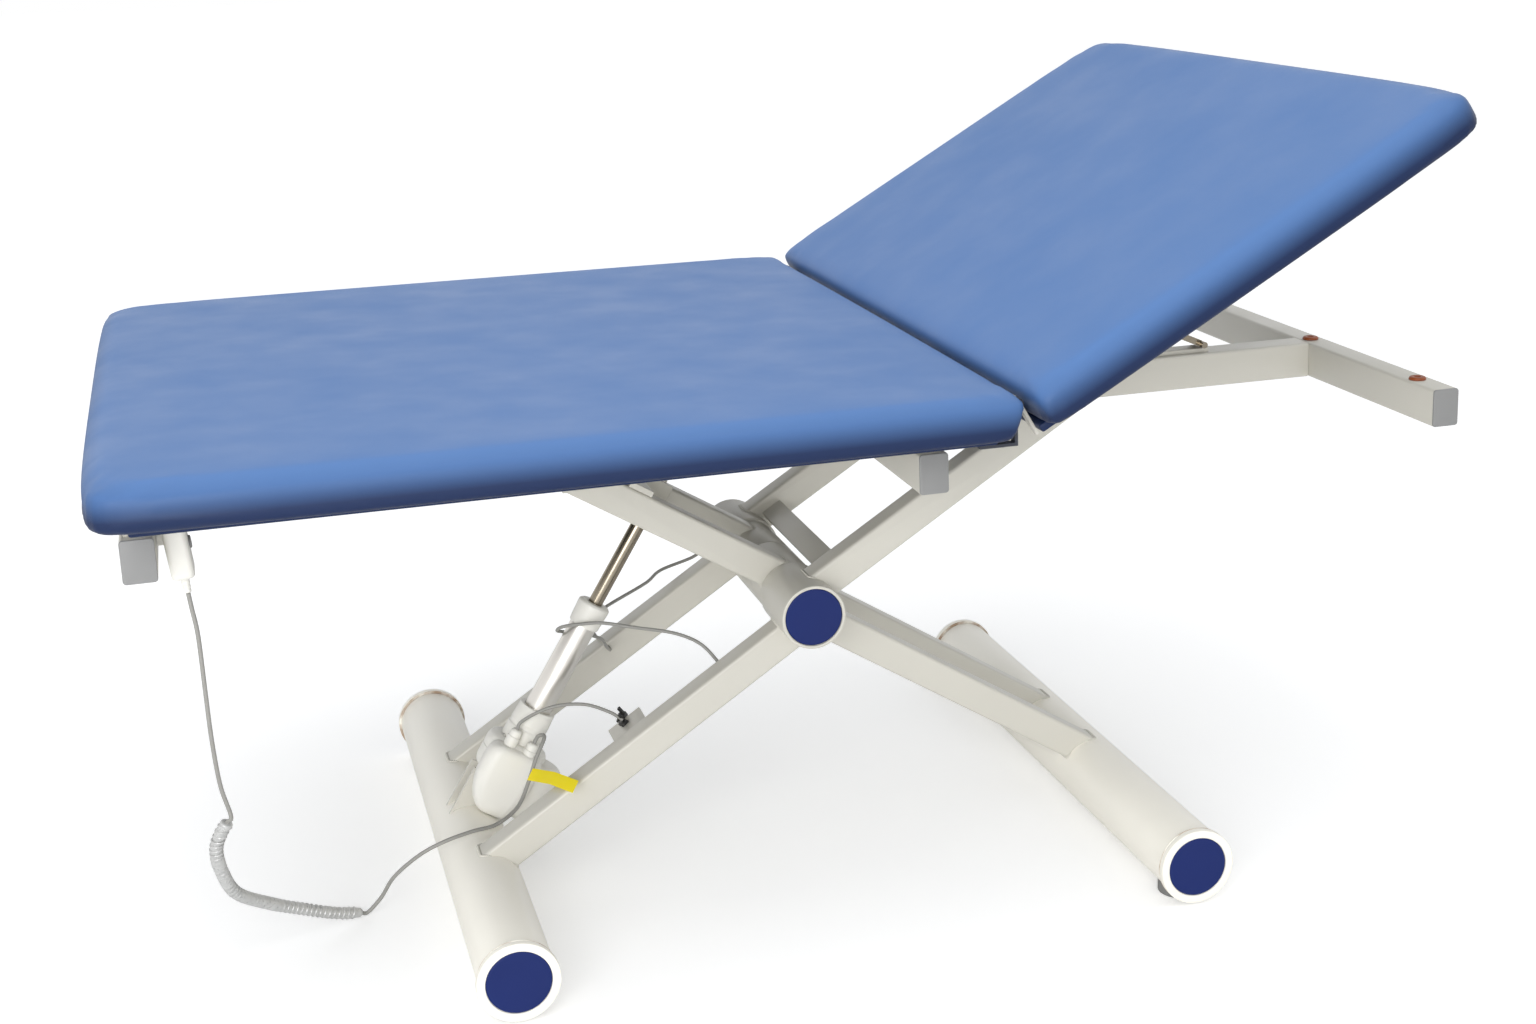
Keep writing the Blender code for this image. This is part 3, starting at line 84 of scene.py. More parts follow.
CROSS_TUBE = (0.040, 0.054)
GAP = 0.0003
SHARP = 35.0
SMOOTH = 40.0
THROUGH = 0.5
Profile = list[tuple[float, float]]
Piece = bpy.types.Object
Socket = bpy.types.NodeSocket
Tree = bpy.types.NodeTree
# Each socket of the motor in its own axes: across, y, foot and rim
LEAD_SOCKET = (-0.022, -0.036, 0.060, 0.096)
CORD_SOCKET = (0.008, -0.042, 0.050, 0.088)

BACK_PLACE = Matrix.Translation(HINGE) @ Matrix.Rotation(-BACK_ANGLE, 4, "Y")
ROD_PLACE = Matrix.Translation(MOUNT_PIN) @ Matrix.Rotation(ROD_TILT, 4, "Y")
AROUND_Y = Matrix.Rotation(math.radians(-90), 4, "X")
STAND = Matrix.Rotation(math.radians(90), 4, "Y")
QUARTER = Matrix.Rotation(math.radians(90), 4, "Z")


class Side(Enum):
    """The two long sides of the table."""

    NEAR = -1
    FAR = 1

    @property
    def label(self) -> str:
        """The word that ends a node's name on this side."""
        return self.name.lower()


class Grain(Enum):
    """The fine relief of a finish."""

    PEEL = "sprayed enamel"
    HIDE = "coated fabric"
    MOULD = "moulded plastic"
    DRAWN = "drawn metal"
    CREASE = "creased film"


class Shape:
    """Points and faces gathered for one piece."""

    def __init__(self) -> None:
        """Starts with nothing."""
        self.points: list[Vector] = []
        self.faces: list[tuple[int, ...]] = []

    def add(self, other: "Shape", place: Matrix | None = None) -> "Shape":
        """Takes in another shape.

        Args:
            other: The shape to copy.
            place: Where its own axes go.

        Returns:
            This shape.
        """
        start = len(self.points)
        place = place or Matrix.Identity(4)
        self.points += [place @ point for point in other.points]
        self.faces += [tuple(i + start for i in face) for face in other.faces]
        return self

    def loft(self, rings: list[list[Vector]], closed: bool = False) -> "Shape":
        """Joins rings of points in turn.

        Args:
            rings: Rings of equal count, where a ring of one point is a pole.
            closed: Whether the last ring joins the first.

        Returns:
            This shape.
        """
        starts = []
        for ring in rings:
            starts.append(len(self.points))
            self.points += ring
        pairs = list(zip(range(len(rings)), range(1, len(rings))))
        if closed:
            pairs.append((len(rings) - 1, 0))
        for a, b in pairs:
            count = max(len(rings[a]), len(rings[b]))
            for i in range(count):
                j = (i + 1) % count
                corner = [
                    starts[a] + i % len(rings[a]), starts[a] + j % len(rings[a]),
                    starts[b] + j % len(rings[b]), starts[b] + i % len(rings[b]),
                ]
                self.faces.append(tuple(dict.fromkeys(corner)))
        if not closed:
            for a, ring in ((0, rings[0]), (-1, rings[-1])):
                if len(ring) > 1:
                    self.faces.append(tuple(starts[a] + i for i in range(len(ring))))
        return self

    def to_mesh(self, name: str) -> bpy.types.Mesh:
        """Makes the mesh, with its faces turned outward.

        Args:
            name: The mesh's name.

        Returns:
            The new mesh.
        """
        data = bpy.data.meshes.new(name)
        data.from_pydata([tuple(point) for point in self.points], [], self.faces)
        work = bmesh.new()
        work.from_mesh(data)
        bmesh.ops.recalc_face_normals(work, faces=work.faces)
        work.to_mesh(data)
        work.free()
        return data

    def to_object(self, name: str, finish: "Finish", crease: float = SHARP) -> Piece:
        """Makes the object at the origin; edges sharper than crease degrees stay sharp."""
        return make_object(name, self.to_mesh(name), finish, crease)

    def deliver(
        self, name: str, finish: "Finish", body: str, nodes: tuple[str, ...] = (), crease: float = SHARP
    ) -> Piece:
        """Makes the object and hands it to the frame.

        Args:
            name: The piece's name.
            finish: Its material.
            body: The body that it moves with.
            nodes: The nodes that it stands for.
            crease: Edges sharper than this many degrees stay sharp.

        Returns:
            The piece.
        """
        return install(self.to_object(name, finish, crease), body, nodes)


def make_object(
    name: str, data: bpy.types.Mesh, finish: "Finish", crease: float = SHARP
) -> Piece:
    """Links a mesh to the scene with one finish and smooth sides.

    Args:
        name: The object's name.
        data: Its mesh.
        finish: Its material.
        crease: Edges sharper than this many degrees stay sharp.

    Returns:
        The new object.
    """
    data.materials.clear()
    data.materials.append(finish.material())
    for face in data.polygons:
        face.use_smooth = True
    data.set_sharp_from_angle(angle=math.radians(crease))
    return place_object(name, data)


def place_object(name: str, data: bpy.types.ID) -> Piece:
    """Puts a mesh, lamp or camera into the scene.

    Args:
        name: The object's name.
        data: What it shows.

    Returns:
        The new object.
    """
    obj = bpy.data.objects.new(name, data)
    bpy.context.scene.collection.objects.link(obj)
    return obj


def settle(obj: Piece) -> Piece:
    """Turns an object's modifiers into plain mesh.

    Args:
        obj: The object to settle.

    Returns:
        The same object.
    """
    bpy.context.view_layer.update()
    graph = bpy.context.evaluated_depsgraph_get()
    data = bpy.data.meshes.new_from_object(obj.evaluated_get(graph), depsgraph=graph)
    obj.modifiers.clear()
    obj.data = data
    data.name = obj.name
    return obj


def combine(obj: Piece, other: Shape, operation: str) -> None:
    """Runs one exact Boolean and keeps its result.

    Args:
        obj: The object to change.
        other: The second shape.
        operation: UNION or DIFFERENCE.
    """
    helper = place_object("helper", other.to_mesh("helper"))
    made = obj.modifiers.new("Combine", "BOOLEAN")
    made.operation = operation
    made.solver = "EXACT"
    made.object = helper
    settle(obj)
    bpy.data.objects.remove(helper)


def mark_depth(obj: Piece, depths: list[float]) -> None:
    """Stores how much painted shade darkens each point.

    Args:
        obj: The piece.
        depths: One value from 0 to 1 for each point, the share of painted shade.
    """
    mark = obj.data.attributes.new("depth", "FLOAT", "POINT")
    mark.data.foreach_set("value", depths)


def install(
    obj: Piece, body: str, nodes: tuple[str, ...] = ()
) -> Piece:
    """Hands a finished piece to the frame.

    Args:
        obj: The piece.
        body: The body that it moves with.
        nodes: The nodes that it stands for.

    Returns:
        The piece.
    """
    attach(obj, body)
    if nodes:
        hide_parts(*nodes)
    LOG.info("%s rides on %s, %d faces", obj.name, body, len(obj.data.polygons))
    return obj


def section(width: float, height: float, radius: float, steps: int = 4) -> Profile:
    """Points round a rectangle with rounded corners.

    Args:
        width: First side.
        height: Second side.
        radius: Corner radius.
        steps: Spans in each corner.

    Returns:
        The points in order.
    """
    made = []
    for number, (a, b) in enumerate(((1, 1), (-1, 1), (-1, -1), (1, -1))):
        for step in range(steps + 1):
            angle = math.radians(90 * (number + step / steps))
            made.append((
                a * (width / 2 - radius) + radius * math.cos(angle),
                b * (height / 2 - radius) + radius * math.sin(angle),
            ))
    return made


def bar(
    length: float, width: float, height: float, radius: float = 0.003, end: float = 0.0008, steps: int = 4
) -> Shape:
    """A bar along X about its centre, with rounded corners and softened ends.

    Args:
        length: Size along X.
        width: Size along Y.
        height: Size along Z.
        radius: Radius of the long edges.
        end: Softening of the two end rims.
        steps: Spans in each rounded corner.

    Returns:
        The closed shape.
    """
    rings = []
    rims = [(end * (1 - math.cos(a)), end * (1 - math.sin(a))) for a in (0.0, math.pi / 4, math.pi / 2)]
    ends = [(-length / 2 + d, i) for d, i in rims] + [(length / 2 - d, i) for d, i in reversed(rims)]
    for x, inset in ends:
        ring = section(width - 2 * inset, height - 2 * inset, max(radius - inset, 0.0002), steps)
        rings.append([Vector((x, y, z)) for y, z in ring])
    return Shape().loft(rings)


def lathe(profile: Profile, sides: int = 64, ring: bool = False) -> Shape:
    """Turns a profile about Z.

    Args:
        profile: Pairs of radius and height, from axis to axis unless it is a ring.
        sides: Spans round the axis.
        ring: Whether the profile is a closed loop off the axis.

    Returns:
        The closed shape.
    """
    rings = []
    for radius, height in profile:
        if radius < 1e-7:
            rings.append([Vector((0, 0, height))])
            continue
        turns = [2 * math.pi * i / sides for i in range(sides)]
        rings.append([Vector((radius * math.cos(a), radius * math.sin(a), height)) for a in turns])
    return Shape().loft(rings, closed=ring)


def soften(profile: Profile, radius: float, ring: bool = False) -> Profile:
    """Rounds the corners of a profile.

    Args:
        profile: Pairs of radius and height.
        radius: How far from each corner the rounding starts.
        ring: Whether the profile is a closed loop.

    Returns:
        The rounded profile.
    """
    corners = [Vector(pair) for pair in profile]
    count = len(corners)
    made = []
    for i, corner in enumerate(corners):
        if not ring and i in (0, count - 1):
            made.append(tuple(corner))
            continue
        before, after = corners[i - 1] - corner, corners[(i + 1) % count] - corner
        reach = min(radius, before.length * 0.45, after.length * 0.45)
        first, last = corner + before.normalized() * reach, corner + after.normalized() * reach
        for share in (0.0, 0.33, 0.67, 1.0):
            rest = 1 - share
            made.append(tuple(first * rest ** 2 + corner * 2 * share * rest + last * share ** 2))
    return made


def round_bar(radius: float, low: float, high: float, sides: int, softness: float = 0.0) -> Shape:
    """A round bar about Z.

    Args:
        radius: Its radius.
        low: Where it starts.
        high: Where it ends.
        sides: Spans round it.
        softness: Rounding of its rims.

    Returns:
        The closed shape.
    """
    profile = [(0, low), (radius, low), (radius, high), (0, high)]
    return lathe(soften(profile, softness) if softness else profile, sides)


def dished_disc(radius: float, depth: float, up: float = 0.0) -> Shape:
    """A round cap that is dished a little.

    Args:
        radius: Its radius.
        depth: Its thickness.
        up: Height of its foot.

    Returns:
        The closed shape.
    """
    profile = [
        (0, up + depth * 0.86), (radius * 0.62, up + depth * 0.9), (radius - 0.0045, up + depth),
        (radius - 0.0012, up + depth), (radius, up + depth * 0.5), (radius, up), (0, up),
    ]
    return lathe(soften(profile, 0.001), 96)


def smooth_route(points: list[Vector], count: int) -> list[Vector]:
    """Reads even steps along a smooth curve through a route's own points.

    Args:
        points: The route.
        count: How many points to read.

    Returns:
        The points along the curve.
    """
    ends = [2 * points[0] - points[1]] + points + [2 * points[-1] - points[-2]]
    spans = len(points) - 1
    made = []
    for step in range(count):
        place = step * spans / (count - 1)
        span = min(int(place), spans - 1)
        t = place - span
        a, b, c, d = ends[span:span + 4]
        made.append(0.5 * (
            2 * b + (c - a) * t + (2 * a - 5 * b + 4 * c - d) * t * t + (3 * b - a - 3 * c + d) * t * t * t
        ))
    return made


def sweep(route: list[Vector], radii: list[float], sides: int = 12) -> Shape:
    """A round tube along a route, without twist.

    Args:
        route: Centre points.
        radii: One radius for each point.
        sides: Spans round the tube.

    Returns:
        The closed tube.
    """
    rings = []
    last = len(route) - 1
    across = (route[1] - route[0]).orthogonal().normalized()
    for i, point in enumerate(route):
        along = (route[min(i + 1, last)] - route[max(i - 1, 0)]).normalized()
        across = (across - along * across.dot(along)).normalized()
        other = along.cross(across)
        turns = [2 * math.pi * k / sides for k in range(sides)]
        rings.append([point + (across * math.cos(a) + other * math.sin(a)) * radii[i] for a in turns])
    return Shape().loft(rings)


def aim(place: Vector, direction: Vector) -> Matrix:
    """A placing that turns Z to a direction.

    Args:
        place: Where the origin goes.
        direction: Where Z points.

    Returns:
        The matrix.
    """
    return Matrix.Translation(place) @ direction.to_track_quat("Z", "Y").to_matrix().to_4x4()


def along(start: Vector, end: Vector) -> Matrix:
    """A placing in the XZ plane that lays X from one place to another about their middle.

    Args:
        start: First place.
        end: Second place.

    Returns:
        The matrix.
    """
    line = end - start
    return Matrix.Translation((start + end) / 2) @ Matrix.Rotation(-math.atan2(line.z, line.x), 4, "Y")


def square_to(line: Vector) -> Vector:
    """The upward direction square to a line in the XZ plane.

    Args:
        line: The line's direction.

    Returns:
        A unit vector.
    """
    up = Vector((-line.z, 0, line.x)).normalized()
    return up if up.z > 0 else -up


def from_foot(points: list[tuple[float, float, float]]) -> list[Vector]:
    """World places of a route that is measured from the seat's foot edge.

    Args:
        points: Places with x from the foot edge.

    Returns:
        The world places.
    """
    return [Vector((x + FOOT_EDGE_X, y, z)) for x, y, z in points]


def maths(
    tree: Tree, operation: str, first: Socket, second: Socket | float | None = None
) -> Socket:
    """One Math node.

    Args:
        tree: The nodes that it joins.
        operation: The node's operation.
        first: Its first input.
        second: Its second input, a socket or a number.

    Returns:
        The value socket.
    """
    node = tree.nodes.new("ShaderNodeMath")
    node.operation = operation
    tree.links.new(first, node.inputs[0])
    if isinstance(second, (int, float)):
        node.inputs[1].default_value = second
    elif second is not None:
        tree.links.new(second, node.inputs[1])
    return node.outputs["Value"]


def map_range(
    tree: Tree, value: Socket, read: tuple[float, float],
    give: tuple[float, float], blend: str = "LINEAR",
) -> Socket:
    """One Map Range node.

    Args:
        tree: The nodes that it joins.
        value: Its input.
        read: The input's range.
        give: The output's range.
        blend: How it runs between them.

    Returns:
        The value socket.
    """
    node = tree.nodes.new("ShaderNodeMapRange")
    node.interpolation_type = blend
    for name, number in zip(("From Min", "From Max", "To Min", "To Max"), read + give):
        node.inputs[name].default_value = number
    tree.links.new(value, node.inputs["Value"])
    return node.outputs["Result"]


@dataclass(frozen=True)
class Finish:
    """A procedural material with a wandering colour, fine relief, uneven gloss and, where asked, painted shade.
    """

    name: str
    slot: str | None
    colour: tuple[float, float, float]
    roughness: float
    grain: Grain
    metallic: float = 0.0
    mottle: float = 0.05
    mottle_scale: float = 5.0
    grain_scale: float = 350.0
    relief: float = 0.00008
    specular: float = 0.5
    # Share by which the depth attribute darkens the colour, as painted shade.
    deep: float = 0.0
    tilt: float = 0.0
    seams: tuple[float, ...] = ()

    def material(self) -> bpy.types.Material:
        """Builds the material once.

        Returns:
            The material of this finish.
        """
        found = bpy.data.materials.get(self.name)
        if found:
            return found
        made = bpy.data.materials.new(self.name)
        made.use_nodes = True
        made.diffuse_color = (*self.colour, 1)
        tree = made.node_tree
        shader = tree.nodes["Principled BSDF"]
        shader.inputs["Metallic"].default_value = self.metallic
        shader.inputs["Specular IOR Level"].default_value = self.specular
        place = self._mapping(tree)
        colour = self._wander(tree, place)
        if self.seams:
            colour = self._grime(tree, place, colour)
        # Painted shade on the sides and undersides of vinyl pieces.
        if self.deep:
            colour = self._deepen(tree, colour)
        tree.links.new(colour, shader.inputs["Base Color"])
        tree.links.new(self._gloss(tree, place), shader.inputs["Roughness"])
        tree.links.new(self._relief(tree, place), shader.inputs["Normal"])
        return made

    def _mapping(self, tree: Tree) -> Socket:
        """Object coordinates, turned to lie along the piece.

        Args:
            tree: The material's nodes.

        Returns:
            The vector socket.
        """
        source = tree.nodes.new("ShaderNodeTexCoord")
        turn = tree.nodes.new("ShaderNodeMapping")
        turn.vector_type = "TEXTURE"
        turn.inputs["Rotation"].default_value = (0, self.tilt, 0)
        tree.links.new(source.outputs["Object"], turn.inputs["Vector"])
        return turn.outputs["Vector"]

    def _noise(self, tree: Tree, place: Socket, scale: float, detail: float = 3.0) -> Socket:
        """A noise pattern.

        Args:
            tree: The material's nodes.
            place: The coordinates.
            scale: Waves in a metre.
            detail: Octaves.

        Returns:
            The value socket.
        """
        noise = tree.nodes.new("ShaderNodeTexNoise")
        noise.inputs["Scale"].default_value = scale
        noise.inputs["Detail"].default_value = detail
        tree.links.new(place, noise.inputs["Vector"])
        return noise.outputs["Fac"]

    def _wander(self, tree: Tree, place: Socket) -> Socket:
        """The base colour, a little lighter and darker in places.

        Args:
            tree: The material's nodes.
            place: The coordinates.

        Returns:
            The colour socket.
        """
        ramp = tree.nodes.new("ShaderNodeValToRGB")
        low, high = ramp.color_ramp.elements
        low.position, high.position = 0.32, 0.68
        low.color = (*[c * (1 - self.mottle) for c in self.colour], 1)
        high.color = (*[min(1.0, c * (1 + self.mottle)) for c in self.colour], 1)
        tree.links.new(self._noise(tree, place, self.mottle_scale, 6.0), ramp.inputs["Fac"])
        return ramp.outputs["Color"]

    def _deepen(self, tree: Tree, colour: Socket) -> Socket:
        """Painted shade: a darker colour where the mesh's own depth attribute asks for it.

        Args:
            tree: The material's nodes.
            colour: The plain colour.

        Returns:
            The colour socket, darkened by painted shade.
        """
        mark = tree.nodes.new("ShaderNodeAttribute")
        mark.attribute_name = "depth"
        mix = tree.nodes.new("ShaderNodeMix")
        mix.data_type = "RGBA"
        mix.blend_type = "MULTIPLY"
        tree.links.new(mark.outputs["Fac"], mix.inputs["Factor"])
        tree.links.new(colour, mix.inputs["A"])
        # Painted shade: the colour is multiplied down by the deep share where the depth attribute is 1.
        mix.inputs["B"].default_value = (1 - self.deep, 1 - self.deep, 1 - self.deep * 0.94, 1)
        return mix.outputs["Result"]

    def _grime(self, tree: Tree, place: Socket, colour: Socket) -> Socket:
        """Brown wear in thin broken lines round the ends of tubes.

        Args:
            tree: The material's nodes.
            place: The coordinates.
            colour: The clean colour.

        Returns:
            The worn colour socket.
        """
        split = tree.nodes.new("ShaderNodeSeparateXYZ")
        tree.links.new(place, split.inputs["Vector"])
        reach = maths(tree, "ABSOLUTE", split.outputs["Y"])
        patch = map_range(tree, self._noise(tree, place, 38.0, 4.0), (0.36, 0.62), (0.0, 1.0))
        for seam in self.seams:
            off = maths(tree, "ABSOLUTE", maths(tree, "SUBTRACT", reach, seam))
            line = map_range(tree, off, (0.0004, 0.0020), (0.8, 0.0), "SMOOTHSTEP")
            amount = maths(tree, "MULTIPLY", line, patch)
            mix = tree.nodes.new("ShaderNodeMix")
            mix.data_type = "RGBA"
            tree.links.new(amount, mix.inputs["Factor"])
            tree.links.new(colour, mix.inputs["A"])
            mix.inputs["B"].default_value = (0.30, 0.155, 0.06, 1)
            colour = mix.outputs["Result"]
        return colour

    def _gloss(self, tree: Tree, place: Socket) -> Socket:
        """Roughness that wanders round its set value.

        Args:
            tree: The material's nodes.
            place: The coordinates.

        Returns:
            The value socket.
        """
        pattern = self._noise(tree, place, 4 * self.mottle_scale)
        return map_range(tree, pattern, (0.3, 0.7), (self.roughness * 0.85, min(1.0, self.roughness * 1.15)))

    def _relief(self, tree: Tree, place: Socket) -> Socket:
        """The fine relief of this finish's grain.

        Args:
            tree: The material's nodes.
            place: The coordinates.

        Returns:
            The normal socket.
        """
        bump = tree.nodes.new("ShaderNodeBump")
        bump.inputs["Distance"].default_value = self.relief
        bump.inputs["Strength"].default_value = 0.6
        height = self._noise(tree, place, self.grain_scale, 2.0)
        if self.grain is Grain.HIDE:
            cells = tree.nodes.new("ShaderNodeTexVoronoi")
            cells.feature = "DISTANCE_TO_EDGE"
            cells.inputs["Scale"].default_value = self.grain_scale
            tree.links.new(place, cells.inputs["Vector"])
            pores = maths(tree, "MINIMUM", cells.outputs["Distance"], 0.22)
            height = maths(tree, "MULTIPLY_ADD", pores, 2.5)
            soft = self._noise(tree, place, self.grain_scale / 14, 2.0)
            tree.links.new(soft, height.node.inputs[2])
        elif self.grain is Grain.DRAWN:
            stretch = tree.nodes.new("ShaderNodeMapping")
            stretch.inputs["Scale"].default_value = (1.0, 1.0, 0.012)
            tree.links.new(place, stretch.inputs["Vector"])
            height = self._noise(tree, stretch.outputs["Vector"], self.grain_scale, 2.0)
        elif self.grain is Grain.CREASE:
            height = self._noise(tree, place, self.grain_scale, 5.0)
            height.node.inputs["Distortion"].default_value = 1.4
        tree.links.new(height, bump.inputs["Height"])
        return bump.outputs["Normal"]


RING_SEAM = 0.4725
ENAMEL = Finish(
    "satin_cream", "cream_enamel", (0.62, 0.60, 0.535), 0.33, Grain.PEEL, mottle=0.025, mottle_scale=3.5,
    grain_scale=240.0, relief=0.00007,
)
# Floor-tube enamel: painted lighter than the cream enamel, standing in for stronger light on the tubes; its
# brown seam lines are real wear.
LIT_WORN_ENAMEL = Finish(
    "worn_enamel", "cream_enamel", (0.95, 0.92, 0.83), 0.33, Grain.PEEL, mottle=0.03, mottle_scale=4.0,
    grain_scale=240.0, relief=0.00007, seams=(RING_SEAM,),
)
# Blue vinyl; its deep share is painted shade, darkening the pads' sides and the boards' wraps by their depth
# attribute.
VINYL = Finish(
    "blue_vinyl", "vinyl", (0.087, 0.187, 0.418), 0.46, Grain.HIDE, mottle=0.012, mottle_scale=2.2,
    grain_scale=620.0, relief=0.00016, specular=0.20, deep=0.88,
)
BOARD = Finish(
    "black_lining", "black_board", (0.016, 0.016, 0.017), 0.7, Grain.MOULD, mottle=0.2, grain_scale=500.0,
    relief=0.0002,
)
DISC_BLUE = Finish(
    "disc_blue", "blue_plastic", (0.0065, 0.018, 0.115), 0.5, Grain.MOULD, mottle=0.08, grain_scale=700.0,
    specular=0.25,
)
CAP_GREY = Finish(
    "cap_grey", "grey_plastic", (0.26, 0.26, 0.257), 0.42, Grain.MOULD, mottle=0.04, grain_scale=700.0,
)
PAD_RUBBER = Finish(
    "foot_rubber", "pad_rubber", (0.20, 0.20, 0.195), 0.65, Grain.MOULD, mottle=0.12, grain_scale=500.0,
)
PALE_PLASTIC = Finish(
    "moulded_pale", "pale_plastic", (0.80, 0.785, 0.73), 0.4, Grain.MOULD, mottle=0.04, grain_scale=600.0,
)
STEEL = Finish(
    "bright_steel", "steel", (0.31, 0.27, 0.21), 0.2, Grain.DRAWN, metallic=1.0, mottle=0.05,
    grain_scale=900.0, relief=0.00002, tilt=ROD_TILT,
)
ALUMINIUM = Finish(
    "satin_aluminium", "aluminium", (0.76, 0.735, 0.69), 0.34, Grain.DRAWN, metallic=1.0, mottle=0.04,
    grain_scale=900.0, relief=0.00003, tilt=ROD_TILT,
)
CORD_GREY = Finish(
    "cord_grey", "cord_plastic", (0.30, 0.295, 0.275), 0.5, Grain.MOULD, mottle=0.06, grain_scale=800.0,
)
TAPE_SILVER = Finish(
    "tape_silver", "silver_tape", (0.54, 0.54, 0.53), 0.30, Grain.CREASE, metallic=0.25, mottle=0.10,
    mottle_scale=60.0, grain_scale=170.0, relief=0.0009,
)
TAG_YELLOW = Finish(
    "tag_yellow", "yellow_plastic", (1.0, 0.80, 0.002), 0.5, Grain.MOULD, mottle=0.03, grain_scale=400.0,
    specular=0.12,
)
BUFFER_BROWN = Finish(
    "buffer_brown", None, (0.27, 0.062, 0.014), 0.45, Grain.MOULD, mottle=0.15, mottle_scale=80.0,
)
CLIP_BLACK = Finish(
    "clip_black", None, (0.018, 0.018, 0.018), 0.45, Grain.MOULD, mottle=0.1, grain_scale=700.0,
)
# Seat hinge leaves painted near black: painted shade standing in for the shade at the seat's hinge corner.
HINGE_SHADE = Finish(
    "hinge_dark", "grey_plastic", (0.030, 0.034, 0.048), 0.5, Grain.MOULD, mottle=0.1, grain_scale=700.0,
)
ZINC = Finish(
    "zinc_screw", None, (0.56, 0.55, 0.52), 0.36, Grain.MOULD, metallic=1.0, mottle=0.08, grain_scale=900.0,
)


class Repeater:
    """Geometry Nodes trees that set a small part along a line or on marked points."""

    def __init__(self) -> None:
        """Builds both trees."""
        self.inputs: dict[str, dict[str, str]] = {}
        self.line_tree = self._tree("repeat_along_line", True)
        self.point_tree = self._tree("repeat_on_points", False)

    def _tree(self, name: str, follows_line: bool) -> Tree:
        """Builds one tree with named inputs.

        Args:
            name: The tree's name.
            follows_line: Whether parts stand at even steps on a line, or on each point as it is.

        Returns:
            The tree.
        """
        tree = bpy.data.node_groups.new(name, "GeometryNodeTree")
        kinds = {"Part": "NodeSocketObject", "Step": "NodeSocketFloat", "Finish": "NodeSocketMaterial"}
        tree.interface.new_socket("Geometry", in_out="INPUT", socket_type="NodeSocketGeometry")
        self.inputs[name] = {
            label: tree.interface.new_socket(label, in_out="INPUT", socket_type=kind).identifier
            for label, kind in kinds.items()
        }
        tree.interface.new_socket("Geometry", in_out="OUTPUT", socket_type="NodeSocketGeometry")
        node = {
            label: tree.nodes.new(kind) for label, kind in {
                "start": "NodeGroupInput", "part": "GeometryNodeObjectInfo",
                "set": "GeometryNodeInstanceOnPoints", "real": "GeometryNodeRealizeInstances",
                "paint": "GeometryNodeSetMaterial", "end": "NodeGroupOutput",
            }.items()
        }
        link = tree.links.new
        if follows_line:
            curve = tree.nodes.new("GeometryNodeMeshToCurve")
            even = tree.nodes.new("GeometryNodeResampleCurve")
            even.mode = "LENGTH"
            heading = tree.nodes.new("GeometryNodeInputTangent")
            turn = tree.nodes.new("FunctionNodeAlignRotationToVector")
            turn.axis = "X"
            link(node["start"].outputs["Geometry"], curve.inputs["Mesh"])
            link(curve.outputs["Curve"], even.inputs["Curve"])
            link(node["start"].outputs["Step"], even.inputs["Length"])
            link(heading.outputs["Tangent"], turn.inputs["Vector"])
            link(even.outputs["Curve"], node["set"].inputs["Points"])
        else:
            mark = tree.nodes.new("GeometryNodeInputNamedAttribute")
            mark.data_type = "FLOAT_VECTOR"
            mark.inputs["Name"].default_value = "turn"
            turn = tree.nodes.new("FunctionNodeEulerToRotation")
            link(mark.outputs["Attribute"], turn.inputs[0])
            link(node["start"].outputs["Geometry"], node["set"].inputs["Points"])
        link(turn.outputs["Rotation"], node["set"].inputs["Rotation"])
        link(node["start"].outputs["Part"], node["part"].inputs["Object"])
        link(node["part"].outputs["Geometry"], node["set"].inputs["Instance"])
        link(node["set"].outputs["Instances"], node["real"].inputs["Geometry"])
        link(node["real"].outputs["Geometry"], node["paint"].inputs["Geometry"])
        link(node["start"].outputs["Finish"], node["paint"].inputs["Material"])
        link(node["paint"].outputs["Geometry"], node["end"].inputs["Geometry"])
        return tree

    def _run(
        self, name: str, data: bpy.types.Mesh, tree: Tree, part: Shape, step: float,
        finish: Finish,
    ) -> Piece:
        """Runs a tree and settles its result.

        Args:
            name: The new piece's name.
            data: The line or points.
            tree: Which tree to run.
            part: The small part to repeat.
            step: Distance between parts on a line.
            finish: The parts' material.

        Returns:
            The settled piece.
        """
        sample = part.to_object(name + "_part", finish)
        obj = place_object(name, data)
        made = obj.modifiers.new("Repeat", "NODES")
        made.node_group = tree
        sockets = self.inputs[tree.name]
        made[sockets["Part"]] = sample
        made[sockets["Step"]] = step
        made[sockets["Finish"]] = finish.material()
        settle(obj)
        bpy.data.objects.remove(sample)
        return obj

    def on_lines(
        self, name: str, lines: list[list[Vector]], closed: bool, part: Shape, step: float, finish: Finish
    ) -> Piece:
        """Sets a part along lines at even steps.

        Args:
            name: The new piece's name.
            lines: The lines' points.
            closed: Whether each line is a loop.
            part: The small part, with X along the line.
            step: Distance between parts.
            finish: The parts' material.

        Returns:
            The settled piece.
        """
        points: list[Vector] = []
        edges: list[tuple[int, int]] = []
        for line in lines:
            start, count = len(points), len(line)
            points += line
            edges += [(start + i, start + i + 1) for i in range(count - 1)]
            if closed:
                edges.append((start + count - 1, start))
        data = bpy.data.meshes.new(name)
        data.from_pydata([tuple(point) for point in points], edges, [])
        return self._run(name, data, self.line_tree, part, step, finish)

    def on_points(self, name: str, places: list[Matrix], part: Shape, finish: Finish) -> Piece:
        """Sets a part at each placing.

        Args:
            name: The new piece's name.
            places: Where the part's axes go.
            part: The small part.
            finish: The parts' material.

        Returns:
            The settled piece.
        """
        data = bpy.data.meshes.new(name)
        data.from_pydata([tuple(place.translation) for place in places], [], [])
        turn = data.attributes.new("turn", "FLOAT_VECTOR", "POINT")
        turn.data.foreach_set("vector", [angle for place in places for angle in place.to_euler()])
        return self._run(name, data, self.point_tree, part, 0.0, finish)


